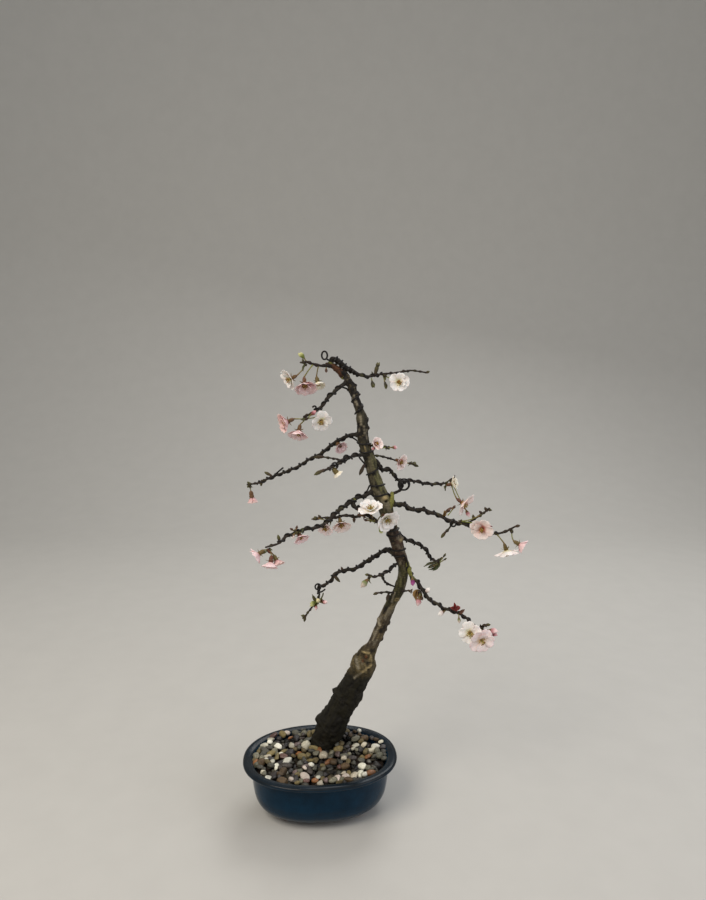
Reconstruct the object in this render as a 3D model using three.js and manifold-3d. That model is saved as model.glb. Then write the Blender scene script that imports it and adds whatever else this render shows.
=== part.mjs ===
// Cherry blossom bonsai in an oval glazed pot, with wired branches and blossoms.
//
// Units are millimetres and +Z is up. Everything is laid out from the middle of the
// bowl's underside, and the whole is moved at the end so that the feet stand on z = 0
// with the origin under the middle of the bounding box.

import * as THREE from 'three';
import { mergeVertices } from 'three/addons/utils/BufferGeometryUtils.js';
import Module from 'manifold-3d';

const wasm = await Module();
wasm.setup();

// ---------------------------------------------------------------- driving dimensions

const GAP = 0.3; // clearance between two pieces that touch
const MERGE_DISTANCE = 0.0005;
const SMALLEST_DETAIL = 0.08; // finer facets left by a boolean are closed up

// Pot
const POT_LENGTH = 150;
const POT_WIDTH = 113;
const LIP_TOP = 50; // above the bowl's underside
const POT_YAW = THREE.MathUtils.degToRad(5);
const OVAL_POWER = 2.2; // 2 is an ellipse, more is squarer
const POT_SEGMENTS = 36;
const FLOOR_TOP = 6; // inside floor of the pot
const FOOT_HEIGHT = 4;
const FOOT_OUTER = 49; // half length of the oval that the feet follow
const FOOT_INNER = 40;
const FOOT_SWEEP = THREE.MathUtils.degToRad(24);
const FOOT_ANGLES = [38, 142, 218, 322].map(THREE.MathUtils.degToRad);
const FOOT_STEPS = 5; // facets along one side of a foot
const DRAIN_RADIUS = 6;
const DRAIN_OFFSET = 26; // each side of the middle, along the pot
const SCREEN_SIZE = 22;
const SCREEN_THICKNESS = 1.2;
const SCREEN_HOLE = 4;
const SCREEN_PITCH = 6;
const SCREEN_HOLES_EACH_WAY = 1; // from the middle hole

// Fill
const SOIL_TOP = 40;
const GRAVEL_TOP = 46.5;
const GRAVEL_REACH = 57; // half length of the oval that the pebbles' middles fill
const PEBBLE_COUNT = 46;
const PEBBLE_RADIUS = 3.4;
const PEBBLE_SEED = 7;
const GOLDEN_ANGLE = Math.PI * (3 - Math.sqrt(5));

// Tree
const TRUNK_SIDES = 9;
const TRUNK_STEP = 11; // length of one facet along the trunk
const LIMB_SIDES = 5;
const LIMB_STEP = 7.5;
const BARK_BUD_STEP = 6;

// Wire
const WIRE_RADIUS = 0.8;
const WIRE_SIDES = 4;
const WIRE_PITCH = 10; // distance between turns along a branch
const WIRE_STEPS_PER_TURN = 6;
const WIRE_CLEARANCE = 0.7; // between a turn and the bark
const WIRE_APPROACH = 3; // where along a branch its turns are first aimed at
const LOOP_CENTRE = [7, -7, 438]; // of the loop past the tip of the leader
const LOOP_RADIUS = 3.4;
const LOOP_STEPS = 6;
const LOOP_START = THREE.MathUtils.degToRad(-30);
const LOOP_STEP_ANGLE = THREE.MathUtils.degToRad(48);
const LOOP_STEP_FORWARD = 0.5;

// Flowers
const STALK_RADIUS = 0.6;
const STALK_SIDES = 4;
const STALK_STEP = 7;
const CALYX_SHARE = 0.28; // length of a calyx, as a share of its flower's diameter
const CALYX_RADIUS = 2;
const SPUR_RADIUS = 1.5;
const SPUR_CLEARANCE = 0.1; // its flat facets make this up to the full gap
const PETAL_THICKNESS = 0.9;
const PETALS = 5;
const NOTCH_DEPTH = 0.22; // of the corolla's edge, as a share of its radius
const BUD_RADIUS = 2.2;
const OPENING_FULLNESS = 0.42; // radius of a half-open flower, as a share of its length
const LEAF_RADII = [0.7, 1.6, 0.4]; // of a rolled young leaf, from its base to its tip
const LEAF_STEP = 4;
const SPUR_SLIDE = 5; // how far a spur may move along its branch to clear the wire
const SPUR_SLIDE_STEP = 0.5;

// ---------------------------------------------------------------- materials

function finish(color, roughness, metalness = 0) {
  return new THREE.MeshStandardMaterial({ color, roughness, metalness });
}

const MATERIALS = {
  glaze: finish(0x17303f, 0.22),
  mesh: finish(0x1c1d1e, 0.6),
  soil: finish(0x2c2119, 0.95),
  pebbles: finish(0x9b927e, 0.6),
  bark: finish(0x3c3226, 0.85),
  wire: finish(0x1d1a17, 0.45, 0.6),
  stalk: finish(0x5c6b2c, 0.6),
  petal: finish(0xf4dfe2, 0.55),
  opening: finish(0xc98a8c, 0.55),
  leaf: finish(0x5d6238, 0.6),
};

// ---------------------------------------------------------------- solids and meshes

// A closed three.js geometry as a solid.
function toSolid(geometry) {
  const bare = geometry.clone();
  bare.deleteAttribute('normal');
  bare.deleteAttribute('uv');
  const merged = mergeVertices(bare, MERGE_DISTANCE);
  const corners = merged.index.array;
  const triangles = [];
  for (let i = 0; i < corners.length; i += 3) {
    const [a, b, c] = corners.slice(i, i + 3);
    if (a !== b && b !== c && c !== a) triangles.push(a, b, c);
  }
  return new wasm.Manifold(new wasm.Mesh({
    numProp: 3,
    vertProperties: Float32Array.from(merged.attributes.position.array),
    triVerts: Uint32Array.from(triangles),
  }));
}

function toGeometry(solid) {
  const mesh = solid.asOriginal().simplify(SMALLEST_DETAIL).getMesh();
  const geometry = new THREE.BufferGeometry();
  geometry.setAttribute('position', new THREE.BufferAttribute(mesh.vertProperties, 3));
  geometry.setIndex(new THREE.BufferAttribute(mesh.triVerts, 1));
  geometry.computeVertexNormals();
  return geometry;
}

function joined(solids) {
  return wasm.Manifold.union(solids);
}

function namedMesh(name, solid, material) {
  const mesh = new THREE.Mesh(toGeometry(solid), material);
  mesh.name = name;
  return mesh;
}

function vector(point) {
  return new THREE.Vector3(...point);
}

// Numbers between 0 and 1 that are the same on every run.
function seededRandom(seed) {
  let state = seed;
  return () => {
    state = (state * 1664525 + 1013904223) % 4294967296;
    return state / 4294967296;
  };
}

// ---------------------------------------------------------------- oval shapes

// A point of the oval whose half length is `half`. Its half width is less by the
// same amount at every size, so that the pot's walls stay equally thick all round.
function ovalPoint(half, angle) {
  const across = Math.max(half - (POT_LENGTH - POT_WIDTH) / 2, 0);
  const c = Math.cos(angle);
  const s = Math.sin(angle);
  return [
    half * Math.sign(c) * Math.abs(c) ** (2 / OVAL_POWER),
    across * Math.sign(s) * Math.abs(s) ** (2 / OVAL_POWER),
  ];
}

// A solid from a half section of [half length, z] points that starts and ends on the axis.
function ovalSolid(section) {
  const outline = section.map(([half, z]) => new THREE.Vector2(half, z));
  const turned = new THREE.LatheGeometry(outline, POT_SEGMENTS);
  turned.rotateX(Math.PI / 2);
  const position = turned.attributes.position;
  for (let i = 0; i < position.count; i += 1) {
    const half = Math.hypot(position.getX(i), position.getY(i));
    const angle = Math.atan2(position.getY(i), position.getX(i));
    const [x, y] = half < 1e-3 ? [0, 0] : ovalPoint(half, angle);
    position.setXY(i, x, y);
  }
  turned.rotateZ(POT_YAW);
  return toSolid(turned);
}

function drainPlaces() {
  return [-DRAIN_OFFSET, DRAIN_OFFSET].map(
    (x) => new THREE.Vector3(x, 0, 0).applyAxisAngle(new THREE.Vector3(0, 0, 1), POT_YAW),
  );
}

// ---------------------------------------------------------------- pot and its fill

// [half length, height] round the wall, from the edge of the base up to the lip and back down.
const OUTER_WALL = [
  [49.5, 0], [57.3, 4], [62.5, 11], [65.5, 22], [66.8, 44],
  [73.4, 45.8], [75, 47.6], [74.2, 49.4], [72, LIP_TOP],
];
const INNER_WALL = [[65, 49], [62.6, 46], [61.4, 32], [57, 13], [49, FLOOR_TOP]];

function foot(angle) {
  const outline = [];
  for (let i = 0; i <= FOOT_STEPS; i += 1) {
    outline.push(ovalPoint(FOOT_OUTER, angle + FOOT_SWEEP * (i / FOOT_STEPS - 0.5)));
  }
  for (let i = FOOT_STEPS; i >= 0; i -= 1) {
    outline.push(ovalPoint(FOOT_INNER, angle + FOOT_SWEEP * (i / FOOT_STEPS - 0.5)));
  }
  const shape = new THREE.Shape(outline.map(([x, y]) => new THREE.Vector2(x, y)));
  const depth = FOOT_HEIGHT + FLOOR_TOP / 2;
  const raised = new THREE.ExtrudeGeometry(shape, { depth, bevelEnabled: false });
  raised.translate(0, 0, -FOOT_HEIGHT);
  raised.rotateZ(POT_YAW);
  return toSolid(raised);
}

function pot() {
  const bowl = ovalSolid([[0, 0], ...OUTER_WALL, ...INNER_WALL, [0, FLOOR_TOP]]);
  const drains = drainPlaces().map((place) => {
    const hole = new THREE.CylinderGeometry(DRAIN_RADIUS, DRAIN_RADIUS, FLOOR_TOP * 3, 20);
    hole.rotateX(Math.PI / 2);
    hole.translate(place.x, place.y, FLOOR_TOP);
    return toSolid(hole);
  });
  return joined([bowl, ...FOOT_ANGLES.map(foot)]).subtract(joined(drains));
}

function block(length, width, height, x, y, z) {
  const box = new THREE.BoxGeometry(length, width, height);
  box.translate(x, y, z);
  return box;
}

// A square of plastic mesh that keeps the soil in over a drain hole.
function drainScreen(place) {
  const middle = SCREEN_THICKNESS / 2;
  const sheet = toSolid(block(SCREEN_SIZE, SCREEN_SIZE, SCREEN_THICKNESS, 0, 0, middle));
  const holes = [];
  for (let i = -SCREEN_HOLES_EACH_WAY; i <= SCREEN_HOLES_EACH_WAY; i += 1) {
    for (let j = -SCREEN_HOLES_EACH_WAY; j <= SCREEN_HOLES_EACH_WAY; j += 1) {
      const [x, y] = [i * SCREEN_PITCH, j * SCREEN_PITCH];
      holes.push(toSolid(block(SCREEN_HOLE, SCREEN_HOLE, SCREEN_THICKNESS * 3, x, y, middle)));
    }
  }
  const plate = toGeometry(sheet.subtract(joined(holes)));
  plate.rotateZ(POT_YAW);
  plate.translate(place.x, place.y, FLOOR_TOP + GAP);
  return toSolid(plate);
}

function screenRecess(place) {
  const size = SCREEN_SIZE + 2 * GAP;
  const box = block(size, size, 2 * (SCREEN_THICKNESS + 2 * GAP), 0, 0, 0);
  box.rotateZ(POT_YAW);
  box.translate(place.x, place.y, FLOOR_TOP);
  return toSolid(box);
}

// The inside wall of the pot up to a height, drawn in by the gap.
function wallBelow(top) {
  const wall = [...INNER_WALL].reverse();
  const below = wall.filter(([, z]) => z < top);
  const next = wall[below.length];
  const last = below[below.length - 1];
  const share = (top - last[1]) / (next[1] - last[1]);
  below.push([last[0] + (next[0] - last[0]) * share, top]);
  return below.map(([half, z], i) => [half - 2 * GAP, i === 0 ? z + GAP : z]);
}

function soil(treeClearance) {
  const wall = wallBelow(SOIL_TOP);
  const fill = ovalSolid([[0, FLOOR_TOP + GAP], ...wall, [0, SOIL_TOP]]);
  const recesses = joined(drainPlaces().map(screenRecess));
  return fill.subtract(recesses).subtract(treeClearance);
}

// Pebbles spread evenly over an oval by the golden angle.
function pebbles() {
  const random = seededRandom(PEBBLE_SEED);
  const stones = [];
  for (let i = 0; i < PEBBLE_COUNT; i += 1) {
    const reach = Math.sqrt((i + 0.5) / PEBBLE_COUNT);
    const [edgeX, edgeY] = ovalPoint(GRAVEL_REACH, i * GOLDEN_ANGLE);
    const size = PEBBLE_RADIUS * (0.7 + 0.6 * random());
    const stone = new THREE.OctahedronGeometry(1, 0);
    stone.scale(size * (1 + 0.3 * random()), size, size * 0.8);
    stone.rotateZ(random() * Math.PI);
    stone.translate(edgeX * reach, edgeY * reach, GRAVEL_TOP + 0.4 * random());
    stone.rotateZ(POT_YAW);
    stones.push(toSolid(stone));
  }
  return joined(stones);
}

function gravel(treeClearance) {
  const wall = wallBelow(GRAVEL_TOP).filter(([, z]) => z > SOIL_TOP);
  const bottom = SOIL_TOP + GAP;
  const edge = wallBelow(bottom).at(-1)[0];
  const bed = ovalSolid([[0, bottom], [edge, bottom], ...wall, [0, GRAVEL_TOP]]);
  return bed.add(pebbles()).subtract(treeClearance);
}

// ---------------------------------------------------------------- limbs

const LENGTH_DIVISIONS = 400;

// A route through points, with a radius at each of them or at its two ends.
function limb(points, radii) {
  const curve = new THREE.CatmullRomCurve3(points.map(vector), false, 'centripetal');
  curve.arcLengthDivisions = LENGTH_DIVISIONS;
  const length = curve.getLength();
  const radiusAt = (share) => {
    const place = curve.getUtoTmapping(share) * (points.length - 1);
    const scaled = (place * (radii.length - 1)) / (points.length - 1);
    const i = Math.min(Math.floor(scaled), radii.length - 2);
    return THREE.MathUtils.lerp(radii[i], radii[i + 1], scaled - i);
  };
  return { curve, length, radiusAt };
}

// A closed tube on a limb's route, `extra` larger than the limb all round.
function tube(route, extra = 0, sides = LIMB_SIDES, stepLength = LIMB_STEP) {
  const steps = Math.max(2, Math.round(route.length / stepLength));
  const frames = route.curve.computeFrenetFrames(steps);
  const straight = new THREE.CylinderGeometry(1, 1, 1, sides, steps);
  const position = straight.attributes.position;
  for (let i = 0; i < position.count; i += 1) {
    const step = Math.round((0.5 - position.getY(i)) * steps);
    const radius = route.radiusAt(step / steps) + extra;
    const point = route.curve.getPointAt(step / steps);
    const lengthening = (step === steps ? extra : 0) - (step === 0 ? extra : 0);
    point.addScaledVector(frames.tangents[step], lengthening);
    point.addScaledVector(frames.normals[step], position.getX(i) * radius);
    point.addScaledVector(frames.binormals[step], position.getZ(i) * radius);
    position.setXYZ(i, point.x, point.y, point.z);
  }
  return toSolid(straight);
}

function ball(centre, radius, detail = 0) {
  const sphere = new THREE.IcosahedronGeometry(radius, detail);
  sphere.translate(...centre);
  return toSolid(sphere);
}

// ---------------------------------------------------------------- tree

const TRUNK = limb(
  [
    [2, 24, 26], [3, 25, 42], [6, 25, 54], [11, 23, 68], [17, 21, 82], [25, 20, 96], [31, 18, 110],
    [38, 16, 124], [43, 15, 137], [46, 14, 147], [51, 13, 156], [56, 12, 167], [61, 11, 180],
    [69, 10, 200], [75, 9, 211], [79, 8, 224], [80, 7, 237], [76, 6, 251], [73, 6, 262], [69, 5, 273],
    [66, 5, 282], [61, 4, 300], [55, 4, 314], [50, 3, 330], [46, 3, 344], [42, 2, 356], [41, 2, 367],
    [40, 1, 378], [38, 1, 386], [35, 1, 395], [32, 0, 404], [28, 0, 413], [23, 0, 421],
  ],
  [
    11, 15, 14, 15, 13, 14, 12.2, 11.8, 11.5, 8.5, 5.4, 5.5, 5.6, 5, 5.4, 5.1, 5, 5.8, 5.5, 5.7,
    5.8, 7.4, 6.6, 5.3, 5.2, 5, 5.2, 5.4, 3.7, 3.5, 3.5, 3.5, 3.3,
  ],
);

const BRANCHES = {
  leader: limb([[23, 0, 418], [19, -2, 427], [14, -4, 433]], [2.8, 1.6]),
  crownLeft: limb(
    [[22, 0, 419], [12, -4, 426], [3, -8, 427], [-9, -13, 430], [-14, -15, 430]],
    [1.4, 0.8],
  ),
  crownRight: limb(
    [
      [17, -3, 430], [23, -2, 428], [30, 1, 423], [37, 3, 419], [45, 6, 417], [59, 11, 419],
      [71, 15, 420], [86, 20, 422], [101, 25, 420],
    ],
    [1.9, 1.9, 1.6, 1.3, 1.1, 0.9, 0.8, 0.8, 0.7],
  ),
  leftUpper: limb(
    [
      [27, 0, 413], [18, -6, 406], [9, -11, 398], [6, -14, 393], [1, -17, 389], [-6, -22, 385],
      [-11, -25, 383],
    ],
    [1.7, 0.9],
  ),
  leftLong: limb(
    [
      [39, 2, 364], [30, 6, 363], [21, 10, 359], [11, 16, 352], [1, 21, 343], [-9, 26, 338],
      [-22, 32, 329], [-39, 40, 321], [-52, 45, 315], [-66, 51, 309], [-77, 55, 307],
    ],
    [1.8, 0.8],
  ),
  leftShort: limb(
    [[45, 2, 345], [33, -9, 346], [24, -19, 343], [14, -30, 339], [9, -37, 338], [1, -45, 336]],
    [1.6, 0.8],
  ),
  leftShortTwig: limb([[24, -18, 343], [14, -6, 343], [4, 4, 343]], [0.8, 0.7]),
  leftMiddle: limb(
    [
      [54, 4, 314], [43, -3, 308], [36, -7, 307], [29, -11, 303], [17, -20, 296], [8, -27, 288],
      [-2, -33, 285], [-10, -38, 285], [-19, -44, 283], [-26, -48, 281], [-31, -53, 277],
      [-42, -60, 275],
    ],
    [2, 0.9],
  ),
  leftMiddleFork: limb(
    [[33, -10, 305], [34, -13, 298], [41, -15, 293], [46, -16, 287], [55, -17, 283]],
    [1.2, 0.8],
  ),
  leftMiddleTwig: limb(
    [[41, -15, 293], [33, -17, 286], [29, -18, 288], [22, -19, 288], [14, -20, 286]],
    [1.3, 0.8],
  ),
  leftLow: limb(
    [
      [74, 6, 249], [68, 8, 251], [64, 10, 253], [57, 13, 248], [43, 19, 237], [34, 23, 230],
      [27, 26, 228], [14, 31, 222], [11, 33, 216], [5, 36, 210], [-3, 39, 205], [-2, 41, 197],
      [-8, 45, 185], [-17, 50, 171],
    ],
    [2.1, 0.8],
  ),
  leftSmall: limb(
    [[78, 6, 242], [71, -1, 241], [66, -8, 238], [57, -18, 237], [51, -24, 237], [46, -30, 241]],
    [1.3, 0.8],
  ),
  leftSmallFork: limb([[58, -18, 237], [62, -12, 228], [70, -6, 222]], [0.9, 0.8]),
  leftStub: limb([[74, 8, 211], [67, 2, 213], [63, -2, 215], [55, -10, 217]], [1, 0.7]),
  rightStub: limb([[75, 8, 213], [81, 4, 214], [85, 2, 215]], [1, 0.7]),
  rightTwigHigh: limb([[44, 2, 354], [52, 8, 353], [56, 11, 353], [63, 16, 351]], [0.9, 0.7]),
  rightTwig: limb(
    [[47, 2, 343], [52, 6, 344], [63, 14, 341], [72, 23, 337], [90, 28, 332]],
    [0.9, 0.6],
  ),
  rightUpper: limb(
    [
      [48, 2, 340], [54, 5, 339], [58, 8, 331], [67, 12, 329], [71, 15, 323], [78, 19, 317],
      [88, 23, 317], [102, 29, 313], [111, 32, 312], [122, 37, 312], [129, 40, 316],
    ],
    [1.8, 0.8],
  ),
  rightUpperArm: limb(
    [[76, 18, 318], [77, 15, 311], [71, 11, 310], [64, 8, 308], [61, 4, 300]],
    [1.4, 1],
  ),
  rightMiddle: limb(
    [
      [61, 4, 299], [70, 0, 299], [78, -4, 300], [87, -9, 296], [96, -13, 297], [102, -16, 295],
      [109, -20, 294], [115, -24, 291], [124, -29, 289], [135, -34, 288], [144, -39, 286],
      [154, -45, 283], [161, -49, 285], [171, -55, 292],
    ],
    [2.1, 0.8],
  ),
  rightMiddleFork: limb(
    [[132, -33, 288], [138, -38, 294], [146, -42, 301], [150, -44, 305]],
    [0.9, 0.7],
  ),
  rightMiddleDrop: limb([[121, -27, 290], [119, -28, 285], [114, -30, 280]], [0.8, 0.7]),
  rightShort: limb(
    [
      [71, 5, 266], [78, 9, 264], [89, 15, 259], [97, 20, 254], [104, 24, 247], [107, 28, 240],
      [115, 32, 235], [120, 35, 237],
    ],
    [1.6, 1],
  ),
  rightLow: limb(
    [
      [78, 6, 243], [83, 4, 241], [87, -2, 230], [92, -5, 226], [98, -10, 218], [104, -14, 211],
      [110, -17, 209], [115, -20, 206], [124, -25, 205], [134, -30, 201], [139, -33, 197],
      [146, -37, 194], [151, -40, 198],
    ],
    [1.9, 0.8],
  ),
};

const ROOTS = [
  limb([[2, 24, 30], [-14, 24, 25], [-30, 14, 20]], [8, 2]),
  limb([[2, 24, 30], [-2, 6, 24], [-10, -14, 19]], [8, 2]),
  limb([[2, 24, 30], [16, 10, 25], [30, -8, 19]], [8, 2]),
  limb([[2, 24, 30], [20, 26, 25], [38, 26, 20]], [8, 2]),
];

// Closed buds that stand straight on the bark: where each begins and ends.
const BARK_BUD_RADII = [0.8, 1.6, 0.4];
const BARK_BUDS = [
  [[-9, -13, 430], [-13, -15, 437]], [[101, 25, 420], [104, 26, 421]], [[52, 8, 418], [55, 9, 429]],
  [[1, -45, 336], [-4, -48, 335]], [[90, 28, 332], [94, 29, 330]],
  [[150, -44, 305], [152, -46, 309]], [[171, -55, 292], [174, -56, 293]],
  [[114, -30, 280], [111, -31, 276]], [[-17, 50, 171], [-20, 51, 167]],
  [[55, -10, 217], [52, -11, 216]], [[85, 2, 215], [88, 1, 215]], [[120, 35, 237], [123, 36, 239]],
  [[21, 10, 360], [18, 11, 366]], [[-24, -46, 282], [-27, -47, 287]],
  [[3, -30, 286], [1, -27, 293]], [[151, -40, 198], [158, -40, 195]],
  [[98, -9, 219], [103, -13, 222]], [[110, -17, 208], [113, -21, 202]],
  [[46, -30, 241], [43, -32, 243]], [[-77, 55, 307], [-81, 56, 307]],
].map(([base, tip]) => {
  const widest = vector(base).lerp(vector(tip), 0.6).toArray();
  return limb([base, widest, tip], BARK_BUD_RADII);
});

const GRAFT_KNOB = [42, 13, 143];
const GRAFT_KNOB_RADIUS = 12;

// The part of the tree that stands in the gravel and the soil.
function stumpSolids(extra) {
  return [tube(TRUNK, extra, TRUNK_SIDES, TRUNK_STEP), ...ROOTS.map((root) => tube(root, extra))];
}

function treeSolid() {
  return joined([
    ...stumpSolids(0),
    ball(GRAFT_KNOB, GRAFT_KNOB_RADIUS, 1),
    ...Object.values(BRANCHES).map((branch) => tube(branch)),
    ...BARK_BUDS.map((barkBud) => tube(barkBud, 0, STALK_SIDES, BARK_BUD_STEP)),
  ]);
}

// ---------------------------------------------------------------- training wires

// How far along the trunk a height is.
function trunkDistance(height) {
  let share = 0;
  while (share < 1 && TRUNK.curve.getPointAt(share).z < height) share += 1 / LENGTH_DIVISIONS;
  return share * TRUNK.length;
}

const WINDING_FRAMES = 240;

// Points of a wire wound on a limb, from one distance along it to another. The first
// point faces `from`; where `to` is given, the last one faces it after whole `turns`.
function winding(route, start, end, { from, to, turns }) {
  const frames = route.curve.computeFrenetFrames(WINDING_FRAMES);
  const placeOf = (distance) => {
    const share = THREE.MathUtils.clamp(distance / route.length, 0, 1);
    const frame = Math.round(share * WINDING_FRAMES);
    return {
      centre: route.curve.getPointAt(share),
      normal: frames.normals[frame],
      binormal: frames.binormals[frame],
      radius: route.radiusAt(share) + WIRE_RADIUS + WIRE_CLEARANCE,
    };
  };
  const facing = (distance, target) => {
    const { centre, normal, binormal } = placeOf(distance);
    const towards = target.clone().sub(centre);
    return Math.atan2(towards.dot(binormal), towards.dot(normal));
  };
  const startAngle = from ? facing(start, from) : 0;
  const fullTurn = 2 * Math.PI;
  let sweep = (fullTurn * Math.abs(end - start)) / WIRE_PITCH;
  if (to) {
    const endAngle = facing(end, to);
    sweep = THREE.MathUtils.euclideanModulo(endAngle - startAngle, fullTurn) + turns * fullTurn;
  }
  const steps = Math.ceil((sweep / fullTurn) * WIRE_STEPS_PER_TURN);
  const bulge = 1 / Math.cos(Math.PI / WIRE_STEPS_PER_TURN);
  const points = [];
  for (let i = 0; i <= steps; i += 1) {
    const { centre, normal, binormal, radius } = placeOf(start + ((end - start) * i) / steps);
    const angle = startAngle + (sweep * i) / steps;
    centre.addScaledVector(normal, Math.cos(angle) * radius * bulge);
    centre.addScaledVector(binormal, Math.sin(angle) * radius * bulge);
    points.push(centre);
  }
  return points;
}

// A wire that starts with turns round the trunk and then winds out along one branch.
function anchoredWire(branch, trunkStart, trunkEnd, turns, branchStart, branchEnd) {
  const out = branch.curve.getPointAt((branchStart + WIRE_APPROACH) / branch.length);
  const anchor = winding(TRUNK, trunkDistance(trunkStart), trunkDistance(trunkEnd), { to: out, turns });
  return [...anchor, ...winding(branch, branchStart, branchEnd, { from: anchor.at(-1) })];
}

// One wire for two branches: in along the first, round the trunk and out along the second.
function sharedWire(first, second, trunkStart, trunkEnd, turns) {
  const aim = ({ branch, start }) => branch.curve.getPointAt((start + WIRE_APPROACH) / branch.length);
  const wrap = winding(TRUNK, trunkDistance(trunkStart), trunkDistance(trunkEnd), {
    from: aim(first), to: aim(second), turns,
  });
  const inward = winding(first.branch, first.start, first.end, { from: wrap[0] }).reverse();
  const outward = winding(second.branch, second.start, second.end, { from: wrap.at(-1) });
  return [...inward, ...wrap, ...outward];
}

// A loop that the wire's end makes past the tip of the leader.
function leaderLoop() {
  const points = [];
  for (let i = 0; i <= LOOP_STEPS; i += 1) {
    const angle = LOOP_START + LOOP_STEP_ANGLE * i;
    const offset = [LOOP_RADIUS * Math.cos(angle), -LOOP_STEP_FORWARD * i, LOOP_RADIUS * Math.sin(angle)];
    points.push(vector(LOOP_CENTRE).add(vector(offset)));
  }
  return points;
}

const WIRES = {
  wire_leader: [...winding(BRANCHES.leader, 5, 16, {}), ...leaderLoop()],
  wire_crown_right: winding(BRANCHES.crownRight, 13, 42, {}),
  wire_left_upper: anchoredWire(BRANCHES.leftUpper, 384, 407, 2, 7, 42),
  wire_left_long_right_upper: sharedWire(
    { branch: BRANCHES.leftLong, start: 9, end: 128 },
    { branch: BRANCHES.rightUpper, start: 11, end: 92 },
    358, 346, 1,
  ),
  wire_left_short: anchoredWire(BRANCHES.leftShort, 327, 336, 1, 10, 52),
  wire_left_middle_right_middle: sharedWire(
    { branch: BRANCHES.leftMiddle, start: 11, end: 112 },
    { branch: BRANCHES.rightMiddle, start: 11, end: 112 },
    318, 306, 1,
  ),
  wire_left_middle_fork: winding(BRANCHES.leftMiddleFork, 4, 22, {}),
  wire_left_low_right_low: sharedWire(
    { branch: BRANCHES.leftLow, start: 9, end: 108 },
    { branch: BRANCHES.rightLow, start: 9, end: 92 },
    256, 249, 1,
  ),
  wire_right_short: anchoredWire(BRANCHES.rightShort, 275, 268, 1, 10, 56),
  wire_left_small: winding(BRANCHES.leftSmall, 9, 34, {}),
};

function wireRoute(points) {
  return limb(points.map((point) => point.toArray()), [WIRE_RADIUS, WIRE_RADIUS]);
}

function wireSolid(points, extra = 0) {
  const route = wireRoute(points);
  return tube(route, extra, WIRE_SIDES, route.length / (points.length - 1));
}

// ---------------------------------------------------------------- flowers and buds

// Each flower: middle of the corolla, the way it faces, and its diameter.
// Each bud: its middle and its length. All grow from one spur on the named branch.
const CLUSTERS = {
  crown_left: {
    on: 'crownLeft',
    flowers: [
      { at: [-25, -20, 417], facing: [-1, -0.3, -0.1], size: 15 },
      { at: [-13, -19, 409], facing: [-0.25, -0.5, -1], size: 19 },
      { at: [3, -10, 412], facing: [0.4, 0.1, -1], size: 12 },
    ],
    buds: [],
  },
  crown_right: {
    on: 'crownRight',
    flowers: [{ at: [74, 7, 412], facing: [0.15, -1, -0.1], size: 18 }],
    buds: [{ at: [51, 6, 409], length: 7 }, { at: [62, 10, 408], length: 7 }],
  },
  left_upper: {
    on: 'leftUpper',
    flowers: [
      { at: [4, -24, 379], facing: [0.1, -1, -0.1], size: 18 },
      { at: [-27, -29, 379], facing: [-0.9, -0.2, -0.4], size: 16 },
      { at: [-17, -27, 369], facing: [0, -0.2, -1], size: 17 },
    ],
    buds: [{ at: [-3, -17, 386], length: 7 }],
  },
  left_middle_tip: {
    on: 'leftMiddle',
    flowers: [
      { at: [-50, -64, 270], facing: [-0.8, -0.1, -0.5], size: 13 },
      { at: [-39, -66, 262], facing: [-0.3, -0.3, -1], size: 14 },
      { at: [-29, -57, 262], facing: [0.6, 0.1, -0.8], size: 14 },
    ],
    buds: [],
  },
  left_middle_low: {
    on: 'leftMiddle',
    flowers: [{ at: [-14, -41, 276], facing: [0.4, -0.1, -1], size: 13 }],
    buds: [],
  },
  left_middle_twig: {
    on: 'leftMiddleTwig',
    flowers: [
      { at: [6, -21, 279], facing: [-0.2, 0.6, -0.8], size: 14 },
      { at: [21, -22, 281], facing: [0.3, 0.1, -1], size: 15 },
    ],
    buds: [],
  },
  left_middle_fork: {
    on: 'leftMiddleFork',
    flowers: [
      { at: [47, -25, 298], facing: [-0.2, -0.6, 0.7], size: 16 },
      { at: [64, -22, 289], facing: [0.6, -0.6, -0.1], size: 18 },
    ],
    buds: [{ at: [57, -18, 276], length: 5 }],
  },
  right_high: {
    on: 'rightTwigHigh',
    flowers: [{ at: [53, 3, 360], facing: [-0.3, -0.3, 1], size: 10 }],
    buds: [{ at: [71, 18, 350], length: 6 }],
  },
  right_twig: {
    on: 'rightTwig',
    flowers: [{ at: [79, 14, 334], facing: [0.8, -0.7, -0.2], size: 15 }],
    buds: [],
  },
  right_upper: {
    on: 'rightUpper',
    flowers: [
      { at: [131, 30, 309], facing: [0.7, -0.6, 0.2], size: 16 },
      { at: [140, 32, 293], facing: [0.7, 0, -0.5], size: 19 },
    ],
    buds: [],
  },
  right_middle: {
    on: 'rightMiddle',
    flowers: [
      { at: [142, -55, 287], facing: [-0.35, -0.9, -0.25], size: 20 },
    ],
    buds: [],
  },
  right_middle_tip: {
    on: 'rightMiddle',
    flowers: [
      { at: [165, -52, 268], facing: [-0.2, 0, -1], size: 18 },
      { at: [179, -56, 275], facing: [0.8, -0.1, -0.6], size: 15 },
    ],
    buds: [],
  },
  right_low: {
    on: 'rightLow',
    flowers: [],
    buds: [{ at: [86, -7, 223], length: 6 }, { at: [92, -12, 211], length: 7 }],
  },
  right_low_tip: {
    on: 'rightLow',
    flowers: [
      { at: [136, -44, 192], facing: [-0.2, -1, 0], size: 20 },
      { at: [151, -47, 183], facing: [0.2, -0.9, -0.2], size: 22 },
    ],
    buds: [],
  },
};

// Half-open flowers that hang on one stalk, still closed into their calyx.
const OPENING_FLOWERS = {
  left_long_tip: { on: 'leftLong', at: [-70, 52, 294], length: 11 },
  left_long: { on: 'leftLong', at: [19, 9, 349], length: 10 },
  left_short: { on: 'leftShort', at: [17, -31, 330], length: 9 },
};

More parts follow.
